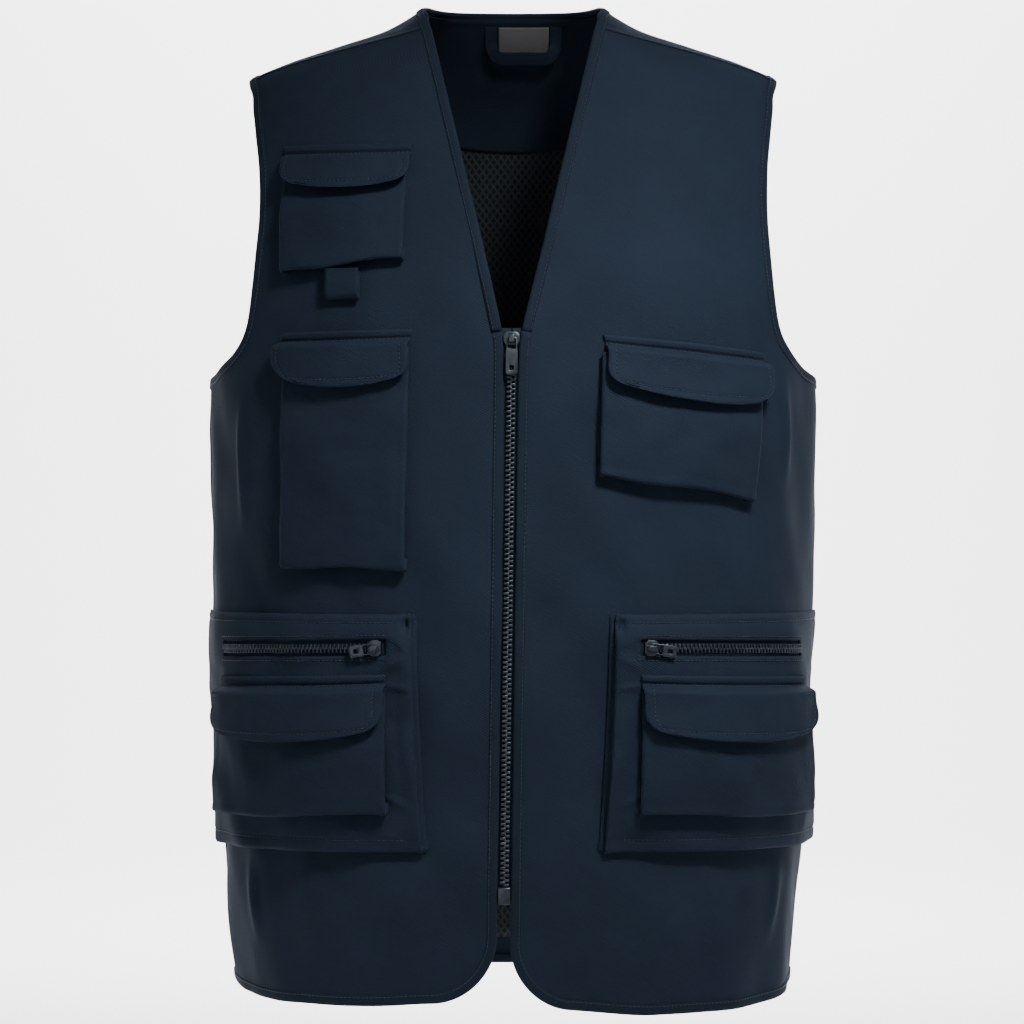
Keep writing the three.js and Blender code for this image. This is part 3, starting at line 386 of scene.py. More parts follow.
def smooth_curve(points):
    """A path through points, by its share of length, as turns and heights."""
    line = through(np.array(points, float), np.linspace(0, len(points) - 1, 1200))
    run = np.concatenate(([0], np.cumsum(np.linalg.norm(np.diff(line, axis=0), axis=1))))
    run /= run[-1]
    return lambda share: (np.interp(share, run, line[:, 0]), np.interp(share, run, line[:, 1]))


def armhole(side, key):
    """The armhole's front (1) or back (2) edge on a side, from the shoulder tip to the underarm."""
    path = smooth_curve([(row[key] * 3, row[0]) for row in ARMHOLE])

    def at(share):
        turn, z = path(share)
        return side * turn / 3, z

    return at


def beside(path, share, distance):
    """The places at a distance beside a path on the body, on its left where the distance is positive."""
    share = np.asarray(share, float)
    turn, z = path(share)
    t0, z0 = path(np.maximum(0, share - 0.002))
    t1, z1 = path(np.minimum(1, share + 0.002))
    round_, up, out = body_frame(turn, z)
    along = round_ * (t1 - t0)[:, None] + up * (z1 - z0)[:, None]
    along /= np.linalg.norm(along, axis=1, keepdims=True)
    side = np.cross(out, along) * np.broadcast_to(distance, turn.shape)[:, None]
    rr, uu, ru = (round_**2).sum(1), (up**2).sum(1), (round_ * up).sum(1)
    sr, su = (side * round_).sum(1), (side * up).sum(1)
    det = rr * uu - ru * ru
    return turn + (sr * uu - su * ru) / det, z + (su * rr - sr * ru) / det


def turn_at(x, z):
    return np.degrees(np.arcsin(np.clip(x / half_width(z), -1, 1)))


def zip_line(z):
    return np.minimum(0, -0.9 + (z - ZIP_TOP) * 0.0135)


def front_edge_x(side, z):
    """Distance of the front edge beside the middle: along the zip below, up the V neck above."""
    above = z - V_BOTTOM
    up = (above + np.hypot(above, 8)) / 2
    return zip_line(z) + side * (4.9 + 0.2364 * up)


def hem_height(side, turn, inset):
    radius = HEM_RADIUS[side]
    x = half_width(HEM_CORNER_TOP) * np.sin(np.radians(turn))
    past = side * (x - front_edge_x(side, HEM_CORNER_TOP)) - radius
    inner = radius - inset
    corner = np.where(past < 0, inner - np.sqrt(np.maximum(0, inner * inner - past * past)), 0)
    return tween(HEM, 1 if side < 0 else 2, np.abs(turn)) + inset + corner


EDGE_ROWS = [-13.5, -30, -45, -65, -90, -118, -148, -180, -208, -233, -254, -270, -279]
ARM_ROWS = [0.113, 0.2, 0.26, 0.33, 0.41, 0.5, 0.6, 0.7, 0.79, 0.87, 0.93, 0.97, 1]


LAST_ROW = len(ARM_ROWS) - 1
ARM_PART, SIDE_PART = 0.42, 0.58  # shares of the front's height beside the armhole and below it
LOW_ROW = 2.55  # rows from the underarm down to the lowest level one
LOW_ROW_RISE = 42  # from the top of the hem's corner up to that row


def front_place(side):
    """Places on a front panel for shares across, from the front edge to the side, and up from the hem."""
    arm = armhole(side, 1)
    last = LAST_ROW
    top, under_arm = EDGE_ROWS[0], EDGE_ROWS[-1]

    def edge(z):
        return turn_at(front_edge_x(side, z), z)

    def edge_path(share):
        z = top + share * (HEM_CORNER_TOP - top)
        return edge(z), z

    def place(u, v):
        down = 1 - v
        row = np.where(down < ARM_PART, down / ARM_PART * last, last + (down - ARM_PART) / SIDE_PART * 3)
        edge_z = np.interp(row, np.arange(last + 1), EDGE_ROWS)
        low = np.clip((row - last) / LOW_ROW, 0, 1)
        fall = low * (HEM_CORNER_TOP - under_arm + LOW_ROW_RISE)
        edge_z = np.where(row > last, under_arm + fall, edge_z)
        arm_share = np.interp(row, np.arange(last + 1), ARM_ROWS)
        from_turn, from_z = beside(edge_path, (top - edge_z) / (top - HEM_CORNER_TOP), side * TUCK)
        to_turn, to_z = beside(arm, arm_share, -side * TUCK)
        to_z = np.where(row > last, to_z + low * (edge_z - to_z), to_z)
        to_turn = np.where(row >= last, side * 90.5, to_turn)
        corner_turn = beside(edge_path, np.ones_like(u), side * TUCK)[0]
        hem_share = np.clip((row - last - LOW_ROW) / (3 - LOW_ROW), 0, 1)
        from_turn = from_turn + (corner_turn - from_turn) * np.clip(low * 6 - 5, 0, 1)
        turn = from_turn + (to_turn - from_turn) * u
        z = from_z + (to_z - from_z) * u
        return turn, z + (hem_height(side, turn, TUCK) - z) * hem_share

    return place


SIDES = (("right", -1), ("left", 1))
for side_name, side in SIDES:
    name = side_name + "_front"
    place = front_place(side)
    bm = cloth_grid(96, 190, place, lambda u, v, turn, z: -0.8 * ease((np.abs(turn) - 88.6) / 1.2))
    panel = piece(bm, name + "_cloth", navy_twill, 1.2, replaces=[name])

# Back: yoke, back panel and linings.
# The yoke is twill and runs from the back seam over the shoulders to their forward seams, with a twill lining
# inside it. The back panel hangs from it, with a black net on its inner side, sewn in along the same seam.
BACK_ARM_PART = 0.34  # share of the back's height beside the armhole
SIDE_SEAM = 90.04
YOKE_SEAM = -91
BACK_HEM = -708
LINING_HEM = -688
NECK = [(45.3, -11.5), (53, -6.2), (68, -1.2), (90, 2.6), (120, 5), (150, 6.6)]
NECK_FRONT = -18  # where the V's straight edge passes into the neck's curve
neck_half = [(float(turn_at(front_edge_x(1, NECK_FRONT), NECK_FRONT)), NECK_FRONT), *NECK]
neck_path = smooth_curve([*neck_half, (180, 7), *[(360 - turn, z) for turn, z in reversed(neck_half)]])
YOKE_NECK = [0.004, 0.05, 0.1, 0.16, 0.21, 0.26, 0.31, 0.35, 0.39, 0.43, 0.465, 0.5]
YOKE_ARM = [-0.127, -0.06, 0.001, 0.07, 0.14, 0.21, 0.28, 0.338]
yoke_corner = float(beside(armhole(1, 2), np.array([YOKE_ARM[-1]]), TUCK)[0][0])
YOKE_TURN = [yoke_corner, 134, 149, 164, 180]


def yoke_place(first, low):
    """Places on a layer of the yoke: across from its left end to its right, and up from its lower edge."""

    def place(u, v):
        column = first + u * 2 * (11 - first)
        k = np.minimum(column, 22 - column)
        top = beside(neck_path, np.interp(k, range(12), YOKE_NECK), -TUCK)
        share = np.interp(k, range(8), YOKE_ARM)
        front = beside(armhole(1, 1), np.maximum(-share, 0), -TUCK)
        back = beside(armhole(1, 2), np.maximum(share, 0), TUCK)
        turn = np.where(k > 7, np.interp(k - 7, range(5), YOKE_TURN), np.where(share < 0, front[0], back[0]))
        edge = low(turn)
        z = np.where(k > 7, edge, np.where(share < 0, front[1], back[1]))
        z = z + (edge - z) * np.clip(k - 6, 0, 1) ** 2 * (k <= 7)
        turn = turn + (top[0] - turn) * v
        return np.where(column <= 11, turn, 360 - turn), z + (top[1] - z) * v

    return place


def back_place(hem, top):
    """Places on a layer of the back below the yoke, from its left side to its right and up from its hem."""

    def place(u, v):
        down = 1 - v
        turn, z = beside(armhole(1, 2), np.interp(down, (0, BACK_ARM_PART), (0.344, 1)), TUCK)
        start = np.interp(down, (BACK_ARM_PART - 0.04, BACK_ARM_PART), (0, 1))
        turn = turn + (SIDE_SEAM - turn) * start
        z = z + (top - z) * np.clip(1 - down / 0.03, 0, 1)
        across = turn + (360 - 2 * turn) * u
        below = np.clip((down - BACK_ARM_PART) / (1 - BACK_ARM_PART), 0, 1)
        return across, z + (hem(across) - z) * below

    return place


def back_hem(turn):
    return BACK_HEM + 4 * ((turn - 180) / 90) ** 2


def lining_edge(turn):
    return YOKE_SEAM - 1.5 + 8 * np.clip((180 - turn) / 18, 0, 1) ** 2


def yoke_lift(u, v, turn, z):
    return 0.5 * np.clip(1 - v * 14, 0, 1) + 0.9 * ease(1 - np.minimum(u, 1 - u) * 45)


yoke = cloth_grid(260, 56, yoke_place(0, lambda turn: YOKE_SEAM - 2), yoke_lift)
yoke = piece(yoke, "back_yoke_cloth", navy_twill, 1.1, replaces=["back_yoke"])
# The lining is drawn in the twill that is painted darker as shade.
lining = cloth_grid(120, 36, yoke_place(2, lining_edge), lambda u, v, turn, z: -3 + 0 * u)
lining = piece(lining, "yoke_lining_cloth", shade_darkened_twill, 0.9, replaces=["yoke_lining"])
back_cut = back_place(lambda turn: back_hem(turn) + TUCK, YOKE_SEAM + 3)
back = cloth_grid(110, 120, back_cut, lambda u, v, turn, z: 0 * u)
back = piece(back, "back_panel_cloth", navy_twill, 1.1, replaces=["back_panel"])

# Warp-knitted polyester net, black: threads in crossing diagonals with open diamonds, 2.5 mm on the real net
# and drawn at 4 mm, so that the diamonds still show.
black_net, tree = new_material("black warp-knitted polyester net")
flat = node(tree, "ShaderNodeUVMap", {"uv_map": "cloth"}).outputs[0]
threads = []
for angle in (-33, 33):
    turned = node(tree, "ShaderNodeMapping", {"Rotation": (0, 0, math.radians(angle))}, {"Vector": flat})
    waves = node(tree, "ShaderNodeTexWave", {"Scale": math.pi / 10 / 0.004}, {"Vector": turned.outputs[0]})
    threads.append(waves.outputs["Fac"])
crossed = node(tree, "ShaderNodeMath", {"operation": "MAXIMUM"}, {0: threads[0], 1: threads[1]})
strand = node(tree, "ShaderNodeMapRange", {"From Min": 0.55, "From Max": 0.9}, {"Value": crossed.outputs[0]})
colour = node(
    tree,
    "ShaderNodeMix",
    {"data_type": "RGBA", 6: linear("#020405"), 7: linear("#222e36")},
    {0: strand.outputs[0]},
)
bump = node(tree, "ShaderNodeBump", {"Strength": 0.6, "Distance": 0.0006}, {"Height": strand.outputs[0]})
surface(tree, {"Roughness": 0.75}, {"Base Color": colour.outputs[2], "Normal": bump.outputs[0]})
net_cut = back_place(lambda turn: LINING_HEM + 0 * turn, YOKE_SEAM + 10)
net = cloth_grid(96, 110, net_cut, lambda u, v, turn, z: -2.5 + 0 * u)
net = piece(net, "mesh_lining_net", black_net, 0.6, replaces=["mesh_lining"])

# Edge tapes.
# Woven polyester tape folded over every raw edge: neck and V, armholes, zip edges with the front hem, and
# back hem. Each is held by one row of stitches near its inner side.
TAPE_PROFILE = smooth_curve(  # distance inside the edge and height over the cloth, round the folded tape
    [
        (7.4, -0.3),
        (7.1, 0.35),
        (6.2, 0.6),
        (4, 0.9),
        (1.6, 0.9),
        (0.2, 0.5),
        (-0.3, -0.5),
        (0.2, -1.5),
        (1.6, -2),
        (5.8, -2),
        (7.2, -1.6),
        (7.4, -0.3),
    ]
)

# Plain-woven polyester binding, pressed in half: darker and closer than the twill, so edges read as lines.
edge_tape = cloth_material("navy folded polyester edge tape", "#15202d", "#222f40", 1.1, 0.2, 0.05)

# Spun polyester sewing thread, a little lighter and shinier than the cloth, so a row reads as fine dots.
sewing_thread, tree = new_material("navy spun polyester thread")
place = node(tree, "ShaderNodeTexCoord").outputs["Object"]
spun = node(tree, "ShaderNodeTexNoise", {"Scale": 1500}, {"Vector": place})
colour = node(
    tree,
    "ShaderNodeMix",
    {"data_type": "RGBA", 6: linear("#182433"), 7: linear("#2b3a4f")},
    {0: spun.outputs["Fac"]},
)
bump = node(tree, "ShaderNodeBump", {"Strength": 0.4, "Distance": 0.0002}, {"Height": spun.outputs["Fac"]})
surface(tree, {"Roughness": 0.55}, {"Base Color": colour.outputs[2], "Normal": bump.outputs[0]})
STITCH = Vector((2.3, 0.62, 0.42)) * MM
STITCH_PITCH = 3.1
NECK_TAPE_END = -239
FRONT_TAPE_TOP = -239.3


def sew(bm, points, away):
    """Adds a row of stitches along points in millimetres, flat against the cloth, whose normals are away."""
    run = np.concatenate(([0], np.cumsum(np.linalg.norm(np.diff(points, axis=0), axis=1))))
    at = np.arange(STITCH_PITCH / 2, run[-1], STITCH_PITCH)
    middle = np.stack([np.interp(at, run, points[:, k]) for k in range(3)], 1)
    ahead = np.stack([np.interp(at + 0.6, run, points[:, k]) for k in range(3)], 1)
    behind = np.stack([np.interp(at - 0.6, run, points[:, k]) for k in range(3)], 1)
    normal = np.stack([np.interp(at, run, away[:, k]) for k in range(3)], 1)
    for m, a, b, n in zip(middle * MM, ahead, behind, normal):
        along = Vector(a - b).normalized()
        out = Vector(n).normalized()
        side = out.cross(along).normalized()
        turn = Matrix((along, side, out)).transposed().to_4x4()
        where = Matrix.Translation(m) @ turn @ Matrix.Diagonal((*STITCH, 1))
        bmesh.ops.create_cube(bm, size=1, matrix=where)


def sew_on_body(bm, turn, z, out):
    sew(bm, on_body(turn, z, out), body_frame(turn, z)[2])


def tape_strip(name, path, columns, side, replaced):
    """A folded tape round an edge, with its row of stitches."""

    def place(u, v):
        inset = TAPE_PROFILE(v)[0]
        return beside(path, u, side * inset)

    bm = cloth_grid(columns, 20, place, lambda u, v, turn, z: TAPE_PROFILE(v)[1])
    bmesh.ops.remove_doubles(bm, verts=bm.verts[:], dist=1e-6)
    bmesh.ops.holes_fill(bm, edges=[e for e in bm.edges if e.is_boundary], sides=0)
    bmesh.ops.recalc_face_normals(bm, faces=bm.faces[:])
    piece(bm, name, edge_tape, replaces=[replaced])
    share = np.linspace(0.002, 0.998, columns * 2)
    turn, z = beside(path, share, side * 5.9)
    sew_on_body(tape_stitches, turn, z, 0.75)


def neck_edge(share):
    """The whole neck edge: up the left side of the V, round the back and down the right side."""
    share = np.asarray(share, float)
    rise = np.where(share < 0.3, share / 0.3, (1 - share) / 0.3)
    z = NECK_TAPE_END + np.clip(rise, 0, 1) * (NECK_FRONT - NECK_TAPE_END)
    left = turn_at(front_edge_x(1, z), z)
    right = 360 + turn_at(front_edge_x(-1, z), z)
    back = neck_path(np.clip((share - 0.3) / 0.4, 0, 1))
    turn = np.where(share < 0.3, left, np.where(share > 0.7, right, back[0]))
    return turn, np.where((share < 0.3) | (share > 0.7), z, back[1])


def whole_armhole(side):
    """An armhole's whole edge, from the underarm up its front, over the shoulder and down its back."""
    front, back = armhole(side, 1), armhole(side, 2)

    def path(share):
        share = np.asarray(share, float)
        a = front(np.clip(1 - 2 * share, 0, 1))
        b = back(np.clip(2 * share - 1, 0, 1))
        return np.where(share < 0.5, a[0], b[0]), np.where(share < 0.5, a[1], b[1])

    return path


def front_hem_path(side):
    """The zip's edge, the rounded corner and the front hem, as one path down to the side seam."""
    key = 1 if side < 0 else 2
    radius = HEM_RADIUS[side]
    corner_top = float(tween(HEM, key, 4.0)) + radius

    def path(share):
        share = np.asarray(share, float)
        z = FRONT_TAPE_TOP + np.clip(share / 0.4, 0, 1) * (corner_top - FRONT_TAPE_TOP)
        edge = turn_at(front_edge_x(side, z), z)
        angle = np.pi / 2 * np.clip((share - 0.4) / 0.16, 0, 1)
        x = front_edge_x(side, corner_top) + side * radius * (1 - np.cos(angle))
        corner = turn_at(x, corner_top)
        turn = corner + (side * (180 - SIDE_SEAM) - corner) * np.clip((share - 0.56) / 0.44, 0, 1)
        low = tween(HEM, key, np.abs(turn)) + radius * (1 - np.sin(angle))
        return np.where(share < 0.4, edge, turn), np.where(share < 0.4, z, low)

    return path


tape_stitches = bmesh.new()
tape_strip("neck_tape", neck_edge, 300, -1, "neck_binding")
for side_name, side in SIDES:
    tape_strip(side_name + "_armhole_tape", whole_armhole(side), 190, side, side_name + "_armhole_binding")
    tape_strip(side_name + "_front_tape", front_hem_path(side), 300, side, side_name + "_front_binding")


def back_hem_path(share):
    turn = SIDE_SEAM + (360 - 2 * SIDE_SEAM) * share
    return turn, back_hem(turn)


tape_strip("back_hem_tape", back_hem_path, 120, 1, "back_hem_binding")
piece(tape_stitches, "tape_stitches", sewing_thread)

# Front zip.
# A coarse metal zip in dark grey, sewn behind the front edges: two woven tapes, two rows of teeth that mesh
# down the middle, a bottom box, and a slider whose pull hangs on a bar and swings.

# Woven polyester zip tape, finer than the binding and quite flat, a dark ground for the teeth.
zip_tape_cloth = cloth_material("navy woven zip tape", "#16202c", "#253344", 0.9, 0.15, 0.05)

# Zinc zip parts with a dark gunmetal plating: a satin grey metal, slightly brighter where it is rubbed.
gunmetal, tree = new_material("dark gunmetal plated zinc")
place = node(tree, "ShaderNodeTexCoord").outputs["Object"]
rub = node(tree, "ShaderNodeTexNoise", {"Scale": 260, "Detail": 4}, {"Vector": place})
colour = node(
    tree,
    "ShaderNodeMix",
    {"data_type": "RGBA", 6: linear("#3c4249"), 7: linear("#6b737d")},
    {0: rub.outputs["Fac"]},
)
rough = node(tree, "ShaderNodeMapRange", {"To Min": 0.28, "To Max": 0.5}, {"Value": rub.outputs["Fac"]})
bump = node(tree, "ShaderNodeBump", {"Strength": 0.15, "Distance": 0.0001}, {"Height": rub.outputs["Fac"]})
surface(
    tree,
    {"Metallic": 0.9},
    {"Base Color": colour.outputs[2], "Roughness": rough.outputs[0], "Normal": bump.outputs[0]},
)
TAPE_BOTTOM, TAPE_LENGTH = -638, 401
CHAIN_TOP, CHAIN_LENGTH = -250, 375.5
TOOTH_PITCH = 3.4
TOOTH = (3.7, 1.75, 2.3)  # across, along and high


def zip_place(x, z):
    return turn_at(zip_line(z) + x, z), z


for side_name, side in SIDES:

    def place(u, v):
        return zip_place(side * (0.3 + 12.7 * u), TAPE_BOTTOM + v * TAPE_LENGTH)

    name = side_name + "_zip_tape"
    bm = cloth_grid(8, 90, place, lambda u, v, turn, z: -2.3 + 0 * u)
    piece(bm, name + "_cloth", zip_tape_cloth, 0.8, replaces=[name])

tooth = bmesh.new()
bmesh.ops.create_cube(tooth, size=1, matrix=Matrix.Diagonal((*TOOTH, 1 / MM)) * MM)
edges = tooth.edges[:]
bmesh.ops.bevel(tooth, geom=edges, offset=0.45 * MM, segments=2, affect="EDGES", profile=0.5, material=-1)
tooth_mesh = bpy.data.meshes.new("tooth")
tooth.to_mesh(tooth_mesh)
tooth.free()


def add_teeth(bm, place, along_turn, count, out, fineness=1):
    """Adds two rows of teeth that mesh, from places on the chain's line for shares of its length."""
    for k in range(count):
        turn, z = place((k + 0.5) / count)
        side = 1 if k % 2 else -1
        round_, up, away = (v[0] for v in body_frame(np.array([turn]), np.array([z])))
        across = Vector(round_ if not along_turn else up).normalized()
        away = Vector(away)
        height = out(turn, z)
        middle = Vector(on_body(turn, z, height)[0]) + across * side * 1.25
        made = len(bm.verts)
        bm.from_mesh(tooth_mesh)
        bm.verts.ensure_lookup_table()
        turned = Matrix((across, away.cross(across), away)).transposed().to_4x4()
        where = Matrix.Translation(middle * MM) @ turned @ Matrix.Diagonal((1, fineness, 1, 1))
        bmesh.ops.transform(bm, matrix=where, verts=bm.verts[made:])


def front_chain(share):
    z = CHAIN_TOP - share * CHAIN_LENGTH
    return float(zip_place(0, z)[0]), z


bm = bmesh.new()
add_teeth(bm, front_chain, False, int(2 * CHAIN_LENGTH / TOOTH_PITCH), lambda turn, z: -0.7)
piece(bm, "front_zip_teeth", gunmetal, replaces=["front_zip_chain"])


def rounded_copy(cad_name, name, radius, body):
    """A piece with the CAD solid's shape and rounded edges."""
    bm = bmesh.new()
    bm.from_mesh(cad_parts[cad_name].data)
    bmesh.ops.remove_doubles(bm, verts=bm.verts[:], dist=1e-6)
    bmesh.ops.dissolve_limit(bm, angle_limit=math.radians(2), verts=bm.verts[:], edges=bm.edges[:])
    sharp = [edge for edge in bm.edges if edge.is_manifold and edge.calc_face_angle() > math.radians(25)]
    bmesh.ops.bevel(bm, geom=sharp, offset=radius * MM, segments=2, affect="EDGES", profile=0.5, material=-1)
    return piece(bm, name, gunmetal, body=body, replaces=[cad_name])


rounded_copy("front_zip_box", "front_zip_bottom_box", 0.5, "vest")
for zip_name in ("front", "right_cargo", "left_cargo"):
    rounded_copy(zip_name + "_zip_slider", zip_name + "_slider_body", 0.3, "vest")
    rounded_copy(zip_name + "_zip_pull", zip_name + "_pull_tab", 0.28, zip_name + "_zip_pull_body")

# Flap pockets on the chest.
# Each is a patch of twill with narrow side and bottom walls, sewn to the panel, so that it stands off and
# sags a little; its mouth lies under a faced flap with rounded corners, sewn down along its top.
POCKETS = {
    "pen_pocket": {
        "inner": (-74.2, -76.8),
        "outer": (-161, -160),
        "flap": (-70.2, -162.6),
        "swell": (-1.5, -1.5),
        "top": (-106, -105.5),
        "bottom": (-189, -197.4),
        "drop": 35.5,
        "rise": (4, 9),
    },
    "phone_pocket": {
        "inner": (-72, -75),
        "outer": (-158.2, -159.2),
        "flap": (-69.3, -161.8),
        "swell": (-2.5, 3),
        "top": (-238, -239.4),
        "bottom": (-404.4, -402.6),
        "drop": 40.5,
        "rise": (6.5, 9),
    },
    "chest_pocket": {
        "inner": (62, 60),
        "outer": (173.5, 166.1),
        "flap": (62.4, 177),
        "swell": (-2.5, 0.5),
        "top": (-241.5, -253),
        "bottom": (-339.4, -355.8),
        "drop": 41,
        "rise": (6.5, 9),
    },
}
POUCH_WALL = np.array([(3.4, 0), (1.9, 0.2), (0.2, 0.46), (-0.6, 0.72), (-0.3, 0.91), (1.4, 1)])
LOW_WALL = np.array([(7.5, 0), (5.2, 0.12), (1.6, 0.4), (-0.8, 0.7), (-0.6, 0.9), (1.2, 1)])
ROUND_THE_BODY = 1.12  # cloth round the body is longer than it looks from the front
MOUTH_BELOW = 13
FLAP_SEAM = 7
FLAP_CORNER = 18
FLAP_STITCH = 5.5  # from the flap's edge to its stitches


def lean(pair, share):
    return pair[0] + (pair[1] - pair[0]) * share


def walled(share, count, length, first=None, last=None):
    """Distances along a face and shares of its height, where a wall of given columns stands at either end."""
    k = share * count
    start, near = (len(first) - 1, first[-1, 0]) if first is not None else (0, 0)
    end, far = (count - len(last) + 1, last[-1, 0]) if last is not None else (count, 0)
    at = near + (length - far - near) * (k - start) / (end - start)
    rise = np.ones_like(at)
    if first is not None:
        at = np.where(k < start, np.interp(k, range(len(first)), first[:, 0]), at)
        rise = np.interp(k, range(len(first)), first[:, 1])
    if last is not None:
        at = np.where(k > end, length - np.interp(count - k, range(len(last)), last[:, 0]), at)
        rise = rise * np.interp(count - k, range(len(last)), last[:, 1])
    return at, rise


def pucker(x, y, start, end, width, height):
    """A narrow ridge along a line between two points."""
    run = np.array(end) - start
    t = np.clip(((x - start[0]) * run[0] + (y - start[1]) * run[1]) / (run @ run), 0, 1)
    off = np.hypot(x - start[0] - t * run[0], y - start[1] - t * run[1])
    return height * np.exp(-((off / width) ** 2)) * np.sin(np.pi * (0.15 + 0.7 * t))


def roll(distance, width):
    """A wall that rises steeply from an edge and rounds off into the face over a width, from 0 to 1."""
    t = np.clip(distance / width, 0, 1)
    return np.sqrt(1 - (1 - t) ** 2)


def closer(u):
    """Shares that lie closer together towards both ends, where a pocket's walls turn."""
    return 0.35 * u + 0.65 * (0.5 - 0.5 * np.cos(np.pi * u))


def crease(distance, depth, width=1.1):
    """The dent that a row of stitches pulls into the cloth."""
    return -depth * np.exp(-((distance / width) ** 2))


def rumple(turn, z, seed, amount):
    """Small soft dents of handled cloth."""
    across = turn * MM_PER_DEGREE
    return amount * (ripple(across, z, 30, 24, seed) + 0.35 * ripple(across, z, 11, 13, seed + 5))


def flap_pocket(name, row, foot, seed):
    """A pouch and its flap, on what lies at the height that foot gives."""
    away = math.copysign(1, row["outer"][0])

    def across(from_x, to_x, s, z):
        a, b = turn_at(from_x, z), turn_at(to_x, z)
        return a + (b - a) * s

    def pouch_face(s, d):
        z = lean(row["top"], s) - MOUTH_BELOW
        z = z + (lean(row["bottom"], s) - z) * d + np.sin(2 * np.pi * (1.3 * s + seed)) * ease(2 * d - 1)
        return across(lean(row["inner"], d), lean(row["outer"], d), s, z), z

    def face_rise(s, d):
        return lean(row["rise"], ease(d / 0.625)) + 1.5 * np.sin(np.pi * s) * np.sin(np.pi * np.clip(d, 0, 1))

    wide = abs(row["outer"][0] - row["inner"][0]) * ROUND_THE_BODY
    high = row["top"][0] - MOUTH_BELOW - row["bottom"][0]
    columns, rows = 56, max(40, int(high / 2.6))

    def pouch_shares(u, v):
        x, side_rise = walled(u, columns, wide, POUCH_WALL, POUCH_WALL)
        y, low_rise = walled(1 - v, rows, high, None, LOW_WALL)
        return x, y, side_rise * low_rise

    def place(u, v):
        x, y, _ = pouch_shares(u, v)
        return pouch_face(x / wide, y / high)

    def puffed(s, d, turn, z):
        return face_rise(s, d) + rumple(turn, z, seed, 1.4)

    def height(u, v, turn, z):
        x, y, wall = pouch_shares(u, v)
        dents = crease(np.minimum(x, wide - x) - 6, 0.4) + crease(high - y - 6, 0.4)
        return foot(turn, z) + 0.25 + (puffed(x / wide, y / high, turn, z) - 0.25 + dents) * wall

    bm = cloth_grid(columns, rows, place, height)
    pouch = piece(bm, name + "_pouch", navy_twill, 1.1, replaces=[name])
    drop = row["drop"]

    def flap_place(s, d):
        fall = drop * d
        past = np.maximum(0, fall - drop + FLAP_CORNER)
        short = 1 - 0.1 * (1 - np.sin(np.pi * s)) ** 1.5
        cut = FLAP_CORNER - np.sqrt(np.maximum(0, FLAP_CORNER**2 - past**2))
        swell = np.sin(np.pi * np.minimum(1, d / 0.833))
        z = lean(row["top"], s) - fall * short
        start = row["flap"][0] - away * (row["swell"][0] * swell - cut)
        end = row["flap"][1] + away * (row["swell"][1] * swell - cut)
        return across(start, end, s, z), z

    flap_wide = abs(row["flap"][1] - row["flap"][0]) * ROUND_THE_BODY

    def flap_rise(s, d, turn, z):
        fall = drop * d
        over = ease((fall - FLAP_SEAM + 1.5) / 7)
        pouch_down = np.clip((fall - MOUTH_BELOW) / high, 0, 1)
        lifted = face_rise(s, pouch_down) + 2.6 + 3.4 * d * d
        lifted = lifted + 0.8 * np.sin(np.pi * s) + rumple(turn, z, seed + 11, 1.4)
        body = 2.5 + (lifted - 1.2) * over
        return foot(turn, z) + body + crease(fall - FLAP_SEAM, 2.1, 1.5)

    def flap_height(u, v, turn, z):
        s, d = closer(u), 1 - closer(v)
        edge = np.minimum(s, 1 - s) * flap_wide
        low = (1 - d) * drop
        near = np.minimum(edge, low)
        top = np.clip(drop * d / 1.6, 0, 1)
        rounded = -1.3 * (1 - roll(near + 0.15, 2.2))
        sewn = crease(near - FLAP_STITCH, 0.45) * (drop * d > FLAP_SEAM + 2)
        return flap_rise(s, d, turn, z) + rounded + sewn - 1.2 * (1 - top)

    bm = cloth_grid(64, 46, lambda u, v: flap_place(closer(u), 1 - closer(v)), flap_height)
    flap = piece(bm, name + "_flap_cloth", navy_twill, 1.5, replaces=[name + "_flap"])
    s = np.linspace(0.02, 0.98, 60)
    d = np.full_like(s, FLAP_SEAM / drop)
    turn, z = flap_place(s, d)
    sew_on_body(pocket_stitches, turn, z, flap_rise(s, d, turn, z) + 0.1)
    inset = FLAP_STITCH / flap_wide
    corner_top = 1 - FLAP_CORNER / drop
    down = np.linspace((FLAP_SEAM + 3) / drop, corner_top, 24)
    bend = np.linspace(0, math.pi / 2, 12)
    d = np.concatenate((down, corner_top + (FLAP_CORNER - FLAP_STITCH) / drop * np.sin(bend)))
    s = np.full_like(d, inset)
    level_s = np.linspace(inset, 1 - inset, 50)
    for path_s, path_d in ((s, d), (1 - s, d), (level_s, np.full_like(level_s, d[-1]))):
        turn, z = flap_place(path_s, path_d)
        sew_on_body(pocket_stitches, turn, z, flap_rise(path_s, path_d, turn, z) - 0.35)


def on_panel(turn, z):
    return 0 * turn


pocket_stitches = bmesh.new()
for seed, (pocket_name, row) in enumerate(POCKETS.items()):
    flap_pocket(pocket_name, row, on_panel, seed * 3.7)

